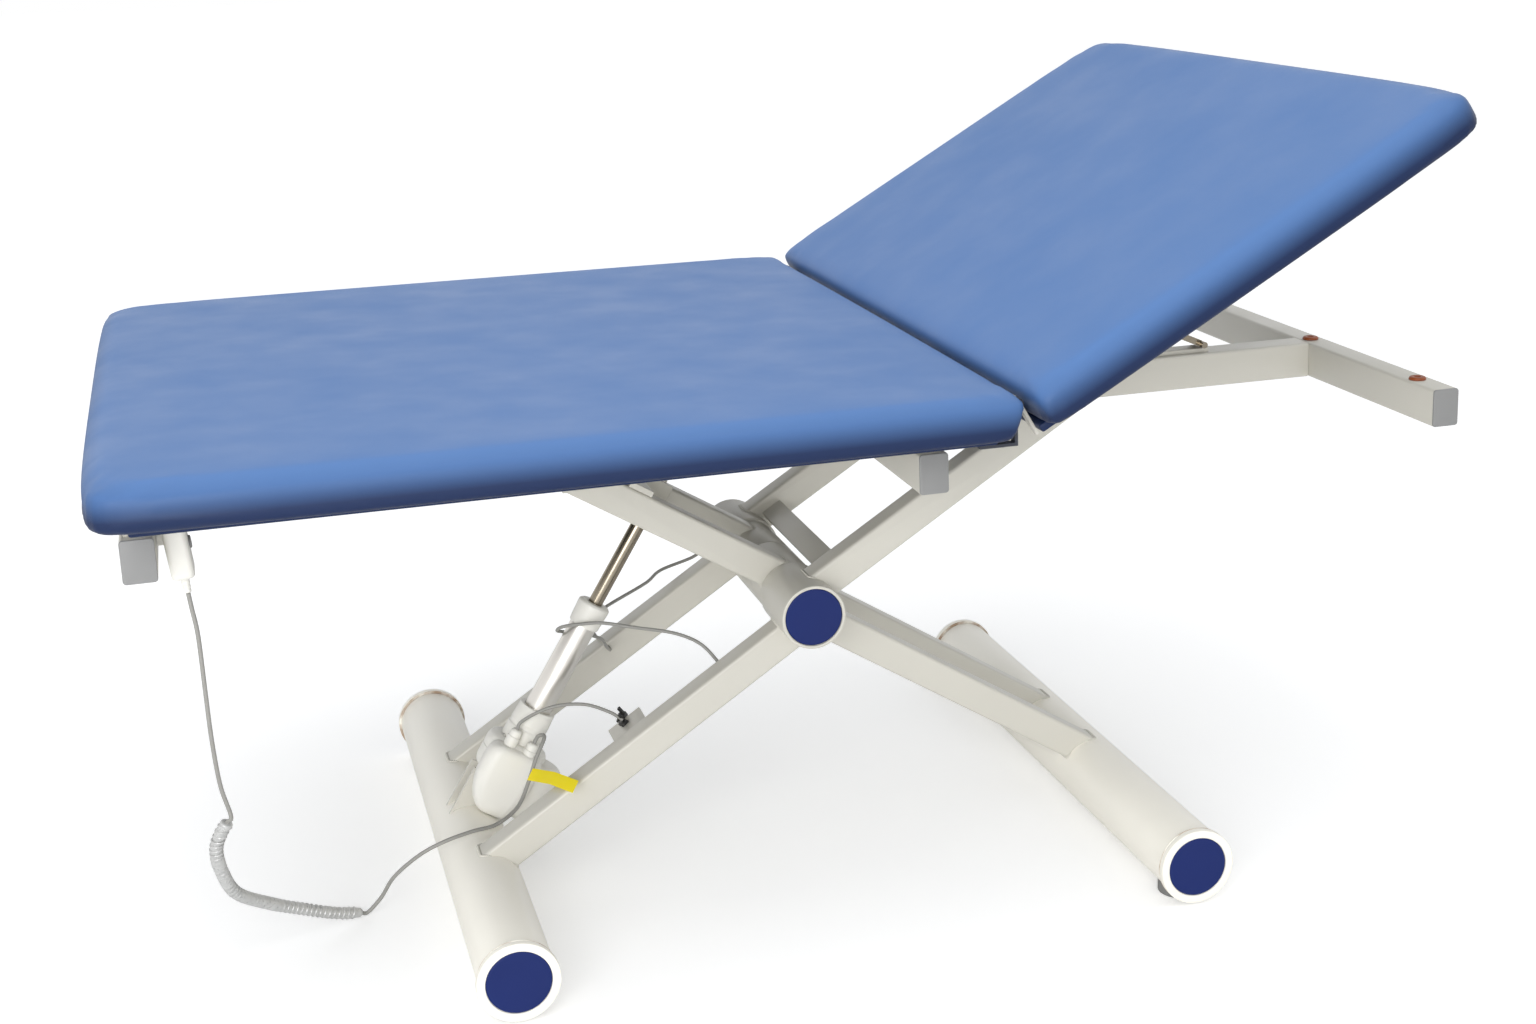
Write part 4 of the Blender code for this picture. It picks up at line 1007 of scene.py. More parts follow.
def node_copy(node: str, finish: Finish, body: str, rounding: float = 0.0008) -> Piece:
    """A merged copy of a node with softened edges, for a fitting whose solid has the right shape.

    Args:
        node: The node's name.
        finish: The copy's material.
        body: The body that it moves with.
        rounding: Size of the softened edges.

    Returns:
        The installed copy.
    """
    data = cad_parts[node].data.copy()
    work = bmesh.new()
    work.from_mesh(data)
    bmesh.ops.remove_doubles(work, verts=work.verts, dist=1e-6)
    bmesh.ops.dissolve_limit(work, angle_limit=math.radians(0.5), verts=work.verts, edges=work.edges)
    work.to_mesh(data)
    work.free()
    for name in [layer.name for layer in data.attributes if layer.name == "custom_normal"]:
        data.attributes.remove(data.attributes[name])
    obj = make_object(node + "_dressed", data, finish)
    if rounding:
        round_edges = obj.modifiers.new("Round", "BEVEL")
        round_edges.width = rounding
        round_edges.segments = 2
        round_edges.limit_method = "ANGLE"
        round_edges.angle_limit = math.radians(40)
        round_edges.harden_normals = True
        settle(obj)
    return install(obj, body, (node,))


@dataclass
class Studio:
    """Camera, floor and light."""

    place: tuple[float, float, float] = (-0.764, -3.0105, 1.3881)
    yaw: float = math.radians(17.054)
    pitch: float = math.radians(14.709)
    roll: float = math.radians(1.665)
    focal_pixels: float = 2177.5
    centre: tuple[float, float] = (867.4, 457.7)
    picture: tuple[int, int] = (1536, 1024)
    sensor: float = 36.0
    floor_size: float = 60.0
    floor_tone: float = 0.93
    floor_lift: float = 0.30
    sky: tuple[float, float, float] = (0.97, 0.985, 1.0)
    sky_heights: tuple[float, float] = (-0.1, 0.9)
    sky_strengths: tuple[float, float] = (0.70, 0.80)

    def camera(self) -> None:
        """Sets the camera at the photograph's place."""
        ahead = Vector((
            math.sin(self.yaw) * math.cos(self.pitch), math.cos(self.yaw) * math.cos(self.pitch),
            -math.sin(self.pitch),
        ))
        right = Vector((math.cos(self.yaw), -math.sin(self.yaw), 0))
        down = ahead.cross(right)
        right, down = (
            right * math.cos(self.roll) + down * math.sin(self.roll),
            down * math.cos(self.roll) - right * math.sin(self.roll),
        )
        lens = bpy.data.cameras.new("photo_camera")
        wide, tall = self.picture
        lens.sensor_width = self.sensor
        lens.lens = self.focal_pixels / wide * self.sensor
        lens.shift_x = (wide / 2 - self.centre[0]) / wide
        lens.shift_y = (self.centre[1] - tall / 2) / wide
        lens.clip_start, lens.clip_end = 0.05, 100.0
        camera = place_object("photo_camera", lens)
        turn = Matrix((right, -down, -ahead)).transposed().to_4x4()
        camera.matrix_world = Matrix.Translation(self.place) @ turn
        bpy.context.scene.camera = camera

    def floor(self) -> None:
        """Lays the pale floor."""
        data = bpy.data.meshes.new("floor")
        half = self.floor_size / 2
        corners = [(-half, -half, 0), (half, -half, 0), (half, half, 0), (-half, half, 0)]
        data.from_pydata(corners, [], [(0, 1, 2, 3)])
        made = bpy.data.materials.new("floor")
        made.use_nodes = True
        tree = made.node_tree
        shader = tree.nodes["Principled BSDF"]
        shader.inputs["Base Color"].default_value = (self.floor_tone, self.floor_tone, self.floor_tone, 1)
        shader.inputs["Roughness"].default_value = 0.9
        shader.inputs["Specular IOR Level"].default_value = 0.1
        shader.inputs["Emission Color"].default_value = (1, 1, 1, 1)
        path = tree.nodes.new("ShaderNodeLightPath")
        lift = maths(tree, "MULTIPLY", path.outputs["Is Camera Ray"], self.floor_lift)
        tree.links.new(lift, shader.inputs["Emission Strength"])
        data.materials.append(made)
        floor = place_object("floor", data)

    def light(self) -> None:
        """Sets the soft light, which is stronger from above."""
        scene = bpy.context.scene
        scene.view_settings.view_transform = "Standard"
        world = bpy.data.worlds.new("studio")
        scene.world = world
        world.use_nodes = True
        tree = world.node_tree
        tree.nodes.clear()
        out = tree.nodes.new("ShaderNodeOutputWorld")
        soft = tree.nodes.new("ShaderNodeBackground")
        seen = tree.nodes.new("ShaderNodeBackground")
        seen.inputs["Color"].default_value = (1, 1, 1, 1)
        soft.inputs["Color"].default_value = (*self.sky, 1)
        path = tree.nodes.new("ShaderNodeLightPath")
        rays = path.outputs["Is Camera Ray"]
        for name in ("Is Glossy Ray", "Is Transmission Ray"):
            rays = maths(tree, "MAXIMUM", rays, path.outputs[name])
        where = tree.nodes.new("ShaderNodeTexCoord")
        split = tree.nodes.new("ShaderNodeSeparateXYZ")
        tree.links.new(where.outputs["Generated"], split.inputs["Vector"])
        height = map_range(tree, split.outputs["Z"], self.sky_heights, self.sky_strengths)
        tree.links.new(height, soft.inputs["Strength"])
        mix = tree.nodes.new("ShaderNodeMixShader")
        tree.links.new(rays, mix.inputs["Fac"])
        tree.links.new(soft.outputs["Background"], mix.inputs[1])
        tree.links.new(seen.outputs["Background"], mix.inputs[2])
        tree.links.new(mix.outputs["Shader"], out.inputs["Surface"])
        self._lamp("overhead", (-0.4, -0.9, 3.6), (0.0, 0.1, 0.5), 3.2, 30.0)
        self._lamp("front_left", (-1.8, -3.9, 1.5), (0.0, 0.0, 0.35), 2.4, 100.0)

    def _lamp(
        self, name: str, place: tuple[float, float, float], target: tuple[float, float, float], size: float,
        power: float,
    ) -> None:
        """Adds one soft lamp.

        Args:
            name: The lamp's name.
            place: Where it hangs.
            target: Where it points.
            size: Side of its square.
            power: Its strength in watts.
        """
        data = bpy.data.lights.new(name, "AREA")
        data.size = size
        data.energy = power
        lamp = place_object(name, data)
        lamp.location = place
        lamp.rotation_euler = (Vector(target) - Vector(place)).to_track_quat("-Z", "Y").to_euler()

    def build(self) -> None:
        """Sets up the whole studio."""
        self.camera()
        self.floor()
        self.light()


@dataclass
class Cushion:
    """One firm upholstered pad, swollen a little by cloth pressure."""

    node: str
    body: str
    length: float
    slant: float
    hinge_end: int
    place: Matrix
    width: float = 1.20
    thickness: float = 0.062
    edge: float = 0.052
    hinge_edge: float = 0.018
    corner: float = 0.016
    hinge_corner: float = 0.003
    crown: float = 0.004
    draw_in: float = 0.005
    lip: float = 0.005
    voxel: float = 0.007
    pressure: float = 4.0
    cap: float = 0.0035
    pinned_below: float = 0.016
    pleat: float = 0.0007
    pleat_reach: float = 0.075
    pleat_count: float = 18.0
    pleat_top: float = 0.62
    frames: int = 14
    # Painted shade on the cover's sides: none above the first height, full at the second distance below it.
    tone_top: float = 0.057
    tone_fade: float = 0.040

    def cage(self, height: float) -> Piece:
        """The smooth starting form, scaled to its outer size.

        Args:
            height: The form's thickness.

        Returns:
            The object, with its subdivision settled.
        """
        half = self.width / 2
        start, stop = ((self.hinge_edge if end == self.hinge_end else self.edge) for end in (0, 4))
        xs = [0, start, self.length / 2, self.length - stop, self.length]
        ys = [-half, self.edge - half, 0, half - self.edge, half]
        zs = [0, self.lip, height / 2, height]
        work = bmesh.new()
        found = {}

        def vert(i: int, j: int, k: int) -> bmesh.types.BMVert:
            """One cage corner, made once."""
            if (i, j, k) not in found:
                x, y, z = xs[i], ys[j], zs[k]
                rim_x, rim_y = i in (0, 4), j in (0, 4)
                corner = self.hinge_corner if i == self.hinge_end else self.corner
                inward = (self.draw_in if k < 2 else 0) + (corner if rim_x and rim_y else 0)
                x += (inward if i == 0 else -inward) if rim_x else 0
                y += (inward if j == 0 else -inward) if rim_y else 0
                x -= self.slant * (1 - z / height) if i == 4 else 0
                z += self.crown if k == 3 and not rim_x and not rim_y else 0
                found[i, j, k] = work.verts.new((x, y, z))
            return found[i, j, k]

        for i in range(4):
            for j in range(4):
                square = ((i, j), (i + 1, j), (i + 1, j + 1), (i, j + 1))
                for k in (0, 3):
                    work.faces.new([vert(a, b, k) for a, b in square])
        for k in range(3):
            for n in range(4):
                for i in (0, 4):
                    square = ((n, k), (n + 1, k), (n + 1, k + 1), (n, k + 1))
                    work.faces.new([vert(i, a, b) for a, b in square])
                    work.faces.new([vert(a, i, b) for a, b in square])
        bmesh.ops.recalc_face_normals(work, faces=work.faces)
        data = bpy.data.meshes.new(self.node + "_cover")
        work.to_mesh(data)
        work.free()
        obj = make_object(self.node + "_cover", data, VINYL, 180.0)
        round_form = obj.modifiers.new("Round", "SUBSURF")
        round_form.levels = round_form.render_levels = 5
        settle(obj)
        self.fit(obj, height)
        return obj

    def fit(self, obj: Piece, height: float) -> None:
        """Scales the cover to the pad's own box.

        Args:
            obj: The pad's cover.
            height: The thickness to reach.
        """
        points = [point.co for point in obj.data.vertices]
        low, high = (Vector([pick(co[axis] for co in points) for axis in range(3)]) for pick in (min, max))
        want = Vector((0, -self.width / 2, 0)), Vector((self.length, self.width / 2, height))
        for point in obj.data.vertices:
            for axis in range(3):
                share = (point.co[axis] - low[axis]) / (high[axis] - low[axis])
                point.co[axis] = want[0][axis] + share * (want[1][axis] - want[0][axis])

    def swell(self, obj: Piece) -> None:
        """Blows the cover up a little with cloth pressure, held at its stapled underside.

        Args:
            obj: The pad's cover.
        """
        weave = obj.modifiers.new("Weave", "REMESH")
        weave.mode = "VOXEL"
        weave.voxel_size = self.voxel
        settle(obj)
        even = obj.modifiers.new("Even", "SMOOTH")
        even.factor = 0.5
        even.iterations = 6
        settle(obj)
        rest = [point.co.copy() for point in obj.data.vertices]
        held = obj.vertex_groups.new(name="stapled")
        held.add([i for i, point in enumerate(rest) if point.z < self.pinned_below], 1.0, "REPLACE")
        cloth = obj.modifiers.new("Cloth", "CLOTH")
        cloth.settings.quality = 3
        cloth.settings.mass = 0.4
        cloth.settings.tension_stiffness = cloth.settings.compression_stiffness = 20.0
        cloth.settings.use_pressure = True
        cloth.settings.uniform_pressure_force = self.pressure
        cloth.settings.effector_weights.gravity = 0.0
        cloth.settings.vertex_group_mass = held.name
        cloth.collision_settings.use_collision = False
        cloth.point_cache.frame_start, cloth.point_cache.frame_end = 1, self.frames
        for number in range(1, self.frames + 1):
            bpy.context.scene.frame_set(number)
        settle(obj)
        bpy.context.scene.frame_set(1)
        obj.vertex_groups.clear()
        for point, start in zip(obj.data.vertices, rest):
            step = point.co - start
            point.co = start + step * min(1.0, self.cap / max(step.length, 1e-9))
        obj.modifiers.new("Even", "SMOOTH").iterations = 4
        settle(obj)

    def pleats(self, obj: Piece) -> None:
        """Gathers the cover in small folds under its four corners.

        Args:
            obj: The pad's cover.
        """
        half = self.width / 2
        middles = [
            Vector((x, y))
            for x in (self.edge, self.length - self.edge)
            for y in (self.edge - half, half - self.edge)
        ]
        for point in obj.data.vertices:
            for middle in middles:
                off = Vector((point.co.x, point.co.y)) - middle
                outside = off.x * (middle.x - self.length / 2) > 0 and off.y * middle.y > 0
                if not outside or off.length > self.pleat_reach:
                    continue
                low = max(0.0, 1.0 - point.co.z / (self.pleat_top * self.thickness))
                near = min(1.0, off.length / self.edge)
                wave = math.sin(self.pleat_count * math.atan2(off.y, off.x))
                push = off.normalized() * self.pleat * wave * low * near
                point.co.x += push.x
                point.co.y += push.y

    def build(self) -> None:
        """Makes, shapes and installs the pad."""
        obj = self.cage(self.thickness - self.cap * 0.8)
        self.swell(obj)
        self.fit(obj, self.thickness)
        self.pleats(obj)
        # Painted shade: the cover darkens from near its top edge downward, standing in for the shade on its
        # sides.
        depths = [(self.tone_top - point.co.z) / self.tone_fade for point in obj.data.vertices]
        mark_depth(obj, [min(1.0, max(0.0, depth)) for depth in depths])
        obj.data.transform(self.place)
        obj.data.materials.clear()
        obj.data.materials.append(VINYL.material())
        for face in obj.data.polygons:
            face.use_smooth = True
        install(obj, self.body, (self.node,))


@dataclass
class BaseTube:
    """A round floor tube with its end plugs, discs and pads."""

    label: str
    axis: Vector
    tube_body: str
    end_body: str
    length: float = 0.969
    radius: float = 0.050
    wall: float = 0.003
    flange: float = 0.054
    flange_depth: float = 0.012
    disc: float = 0.0425
    disc_depth: float = 0.0025
    recess: float = 0.004
    stub: float = 0.040

    def tube(self) -> None:
        """The open tube."""
        half = self.length / 2 - self.flange_depth - 0.0006
        bore = self.radius - self.wall
        ring = soften([(self.radius, half), (self.radius, -half), (bore, -half), (bore, half)], 0.0008, True)
        shape = Shape().add(lathe(ring, 96, True), Matrix.Translation(self.axis) @ AROUND_Y)
        shape.deliver(self.label + "_floor_tube", LIT_WORN_ENAMEL, self.tube_body, (self.label + "_tube",))

    def end(self, side: Side) -> None:
        """The flanged plug, its disc and its floor pad.

        Args:
            side: Which end of the tube.
        """
        inner = self.length / 2 - self.flange_depth
        face = self.flange_depth - self.recess
        place = aim(Vector((self.axis.x, side.value * inner, self.axis.z)), Vector((0, side.value, 0)))
        rim, seat, stub = self.flange, self.disc + GAP, self.radius - self.wall - 0.0006
        plug = [
            (0, face), (seat, face), (seat, self.flange_depth), (rim, self.flange_depth), (rim, 0.0022),
            (rim - 0.0012, 0.0014), (rim, 0.0006), (rim, 0), (stub, 0), (stub, -self.stub), (0, -self.stub),
        ]
        shape = Shape().add(lathe(soften(plug, 0.0018), 96), place)
        node = f"{self.label}_plug_{side.label}"
        shape.deliver(node + "_ring", LIT_WORN_ENAMEL, self.end_body, (node,))
        shape = Shape().add(dished_disc(self.disc, self.disc_depth, face + GAP), place)
        node = f"{self.label}_disc_{side.label}"
        shape.deliver(node + "_cap", DISC_BLUE, self.end_body, (node,))
        node_copy(f"{self.label}_pad_{side.label}", PAD_RUBBER, self.end_body, 0.0012)

    def build(self) -> None:
        """Makes the tube and both ends."""
        self.tube()
        for side in Side:
            self.end(side)


@dataclass
class ScissorFrame:
    """One of the two crossing frames, welded from bars and pivot sleeves."""

    letter: str
    body: str
    base: Vector
    top: Vector
    arm_y: float
    sleeve_radius: float
    sleeve: tuple[float, float]
    repeater: Repeater
    bar_height: float = 0.046
    bar_width: float = 0.040
    corner: float = 0.0045
    base_offset: float = 0.022
    pivot_offset: float = -0.018
    up_offset: float = 0.0127
    tail: float = 0.025
    bore: float = 0.0363
    disc: float = 0.0413
    recess: float = 0.004
    base_radius: float = 0.0502
    weld: float = 0.0022

    def lines(self) -> tuple[tuple[Vector, Vector], tuple[Vector, Vector]]:
        """Ends of the lower and the upper bar's middle line.

        Returns:
            The lower bar's two ends and the upper bar's two ends.
        """
        low_square = square_to(PIVOT - self.base)
        up_square = square_to(self.top - PIVOT)
        up_line = (self.top - PIVOT).normalized()
        low = (self.base + low_square * self.base_offset, PIVOT + low_square * self.pivot_offset)
        lift = up_square * self.up_offset
        high = (PIVOT + lift, self.top + lift + up_line * self.tail)
        return low, high

    def side(self, side: Side, extras: list[Shape]) -> None:
        """One welded side.

        Args:
            side: Which side of the table.
            extras: More welded pieces, already in place.
        """
        node = f"{self.letter}_arm_{side.label}"
        y = Vector((0, side.value * self.arm_y, 0))
        start, end = self.sleeve
        ring = [(self.bore, start), (self.sleeve_radius, start), (self.sleeve_radius, end)]
        if self.letter == "a":
            deep = end - self.recess
            ring += [(self.disc, end), (self.disc, deep), (self.bore, deep)]
        else:
            ring.append((self.bore, end))
        place = aim(Vector((PIVOT.x, 0, PIVOT.z)), Vector((0, side.value, 0)))
        shape = Shape().add(lathe(soften(ring, 0.0016, True), 96, True), place)
        obj = shape.to_object(node + "_weldment", ENAMEL)
        for first, last in self.lines():
            piece = bar((last - first).length, self.bar_width, self.bar_height, self.corner, 0.0015)
            combine(obj, Shape().add(piece, along(first + y, last + y)), "UNION")
        for radius, centre in ((self.bore, PIVOT), (self.base_radius, self.base)):
            hole = round_bar(radius, -THROUGH, THROUGH, 96)
            combine(obj, Shape().add(hole, Matrix.Translation(centre) @ AROUND_Y), "DIFFERENCE")
        for extra in extras:
            combine(obj, extra, "UNION")
        obj.data.set_sharp_from_angle(angle=math.radians(SHARP))
        install(obj, self.body, (node,))

    def weld_loop(self, first: Vector, last: Vector, centre: Vector, radius: float, y: float) -> list[Vector]:
        """The line where a bar meets a round tube.

        Args:
            first: The bar's end inside the tube.
            last: The bar's other end.
            centre: A place on the tube's axis.
            radius: The tube's radius.
            y: The bar's middle.

        Returns:
            The loop's points.
        """
        line = (last - first).normalized()
        up = square_to(line)
        off = (first - centre).dot(up)
        back = (first - centre).dot(line)
        made = []
        for across, height in section(self.bar_width + 0.0006, self.bar_height + 0.0006, self.corner, 4):
            reach = math.sqrt(max(radius ** 2 - (off + height) ** 2, 0.0)) - back
            made.append(first + line * reach + up * height + Vector((0, y + across, 0)))
        return made

    def welds(self) -> None:
        """Rippled weld beads round each joint."""
        low, high = self.lines()
        loops = []
        for side in Side:
            y = side.value * self.arm_y
            loops.append(self.weld_loop(low[1], low[0], PIVOT, self.sleeve_radius, y))
            loops.append(self.weld_loop(high[0], high[1], PIVOT, self.sleeve_radius, y))
            loops.append(self.weld_loop(low[0], low[1], self.base, self.base_radius, y))
        w = self.weld
        ripple = lathe([(0, -w * 1.1), (w * 0.7, -w * 0.8), (w, 0), (w * 0.7, w * 0.8), (0, w * 1.1)], 8)
        dense = []
        for loop in loops:
            count = len(loop)
            fine = [loop[i].lerp(loop[(i + 1) % count], k / 4) for i in range(count) for k in range(4)]
            dense.append(fine)
        name = f"frame_{self.letter}_welds"
        obj = self.repeater.on_lines(name, dense, True, ripple, w * 1.25, ENAMEL)
        install(obj, self.body)

    def build(self, extras: list[Shape]) -> None:
        """Makes both sides and their welds.

        Args:
            extras: Cross pieces that are welded to the near side.
        """
        self.side(Side.NEAR, extras)
        self.side(Side.FAR, [])
        self.welds()


@dataclass
class CrossPieces:
    """The shaft, brace strip and cable plate between the sides of the first frame."""

    inner: float = 0.160
    shaft: float = 0.010
    strip: tuple[float, float] = (0.034, 0.012)
    strip_at: float = 0.066
    plate: tuple[float, float] = (0.056, 0.005)
    plate_at: float = 0.285
    plate_end: float = -0.072
    bite: float = 0.002

    def shapes(self, carrier: ScissorFrame) -> list[Shape]:
        """The welded pieces in place.

        Args:
            carrier: The frame that they are welded to.

        Returns:
            One shape for each piece.
        """
        low, high = carrier.lines()
        span = 2 * self.inner - GAP + self.bite
        middle = Vector((0, -(GAP + self.bite) / 2, 0))
        up = (high[1] - high[0]).normalized()
        down = (low[1] - low[0]).normalized()
        strip_at = high[0] + up * self.strip_at + middle
        plate_at = low[0] + down * self.plate_at + middle
        reach = up * self.strip[0] / 2
        strip = bar(self.strip[0], span, self.strip[1], 0.0025, 0.001)
        made = [Shape().add(strip, along(strip_at - reach, strip_at + reach))]
        reach = down * self.plate[0] / 2
        plate_at.y = (self.plate_end - self.inner - self.bite) / 2
        width = self.plate_end + self.inner + self.bite
        plate = bar(self.plate[0], width, self.plate[1], 0.001, 0.0006)
        made.append(Shape().add(plate, along(plate_at - reach, plate_at + reach)))
        shaft = round_bar(self.shaft, -span / 2, span / 2, 48)
        made.append(Shape().add(shaft, Matrix.Translation(TOP_A + middle) @ AROUND_Y))
        return made


@dataclass
class PivotJoint:
    """The axle of the scissor with its two blue discs."""

    axle: float = 0.036
    half: float = 0.240
    disc: float = 0.041
    disc_depth: float = 0.0025
    recess: float = 0.004

    def build(self) -> None:
        """Makes the axle and the discs."""
        reach = self.half - self.recess - GAP
        axle = round_bar(self.axle, -reach, reach, 64, 0.001)
        shape = Shape().add(axle, Matrix.Translation(PIVOT) @ AROUND_Y)
        shape.deliver("pivot_axle_bar", STEEL, "frame_a", ("pivot_axle",))
        disc = dished_disc(self.disc, self.disc_depth)
        for side in Side:
            face = Vector((PIVOT.x, side.value * (self.half - self.recess + GAP), PIVOT.z))
            shape = Shape().add(disc, aim(face, Vector((0, side.value, 0))))
            node = f"pivot_disc_{side.label}"
            shape.deliver(node + "_cap", DISC_BLUE, "frame_a", (node,))


@dataclass
class TopFrame:
    """Cross tubes, spine, head bar with buffers, rails and the sliding rollers."""

    repeater: Repeater
    tube: tuple[float, float] = CROSS_TUBE
    tube_length: float = 0.875
    head_length: float = 0.775
    sunk: float = 0.010
    shaft_hole: float = 0.0106
    corner: float = 0.0045
    cap: float = 0.004
    post: float = 0.030
    post_height: float = 0.033
    post_setback: float = 0.034
    spine_width: float = 0.050
    rack: tuple[float, float, float] = (0.330, 0.030, 0.006)
    rack_start: float = 0.190
    buffer_x: float = 0.896
    buffer_y: float = 0.316
    buffer: tuple[float, float] = (0.0125, 0.005)
    roller: tuple[float, float] = (0.008, 0.018)
    roller_span: tuple[float, float] = (0.121, 0.145)

    def cross(self, node: str, x: float, length: float, posts: bool) -> None:
        """A cross tube with its end caps.

        Args:
            node: The tube's node.
            x: Its place along the table.
            length: Its length over the caps.
            posts: Whether it carries seat posts.
        """
        wide, tall = self.tube
        tube = bar(length - 2 * (self.cap + GAP), wide, tall, self.corner, 0.0006)
        place = Matrix.Translation((x, 0, FRAME_MID)) @ QUARTER
        obj = Shape().add(tube, place).to_object(node + "_section", ENAMEL)
        cap = bar(self.cap, wide, tall, self.corner, 0.0016, 6)
        height = self.post_height - GAP
        post = bar(height + self.sunk, self.post, self.post, 0.003, 0.0008)
        for side in Side:
            if posts:
                y = side.value * (length / 2 - self.post_setback)
                middle = Vector((x, y, FRAME_TOP + (height - self.sunk) / 2))
                combine(obj, Shape().add(post, Matrix.Translation(middle) @ STAND), "UNION")
            end = Matrix.Translation((x, side.value * (length - self.cap) / 2, FRAME_MID)) @ QUARTER
            name = f"{node}_cap_{side.label}"
            Shape().add(cap, end).deliver(name + "_plug", CAP_GREY, "top_frame", (name,))
        obj.data.set_sharp_from_angle(angle=math.radians(SHARP))
        install(obj, "top_frame", (node,))

    def buffers(self) -> None:
        """The dimpled rubber buffers on the head bar."""
        r, h = self.buffer
        profile = soften([
            (0, h - 0.0026), (r * 0.30, h - 0.0024), (r * 0.42, h - 0.0006), (r * 0.74, h),
            (r - 0.0012, h - 0.0008), (r, h * 0.4), (r, 0.0002), (0, 0.0002),
        ], 0.0012)
        across = (-self.buffer_y, 0.0, self.buffer_y)
        places = [Matrix.Translation((self.buffer_x, y, FRAME_TOP)) for y in across]
        obj = self.repeater.on_points("head_bar_buffers", places, lathe(profile, 40), BUFFER_BROWN)
        install(obj, "top_frame")

    def spine(self) -> None:
        """The middle bar with its rack strip."""
        wide, tall = self.tube
        start, end = MID_TUBE_X + wide / 2 + GAP, HEAD_BAR_X - wide / 2 - GAP
        beam = bar(end - start, self.spine_width, tall, self.corner, 0.0006)
        place = Matrix.Translation(((start + end) / 2, 0, FRAME_MID))
        obj = Shape().add(beam, place).to_object("spine_section", ENAMEL)
        long, broad, high = self.rack
        middle = (HINGE.x + self.rack_start + long / 2, 0, FRAME_TOP + (high - self.sunk) / 2)
        rack = bar(long, broad, high + self.sunk, 0.0012, 0.0012)
        combine(obj, Shape().add(rack, Matrix.Translation(middle)), "UNION")
        hole = round_bar(self.shaft_hole, -0.2, 0.2, 48)
        combine(obj, Shape().add(hole, Matrix.Translation(TOP_A) @ AROUND_Y), "DIFFERENCE")
        obj.data.set_sharp_from_angle(angle=math.radians(SHARP))
        install(obj, "top_frame", ("spine",))

    def rollers(self) -> None:
        """The axle and rollers at the sliding end of the second frame."""
        inner, end = self.roller_span
        axle, r = self.roller
        half = [
            (axle, inner), (r - 0.006, inner), (r - 0.001, inner + 0.001), (r, inner + 0.003),
            (r, end - 0.003), (r - 0.001, end - 0.001), (r - 0.005, end), (axle, end - 0.0015),
            (0, end - 0.0015),
        ]
        profile = [(a, -b) for a, b in reversed(half)] + half
        shape = Shape().add(lathe(profile, 64), Matrix.Translation(TOP_B) @ AROUND_Y)
        shape.deliver("slide_rollers", CAP_GREY, "rollers", ("roller_axle",))

    def build(self) -> None:
        """Makes the whole top frame."""
        self.cross("foot_cross_tube", FOOT_TUBE_X, self.tube_length, True)
        self.cross("mid_cross_tube", MID_TUBE_X, self.tube_length, True)
        self.cross("head_bar", HEAD_BAR_X, self.head_length, False)
        self.buffers()
        self.spine()
        self.rollers()
        for side in Side:
            node_copy(f"slide_rail_{side.label}", ENAMEL, "top_frame", 0.0007)


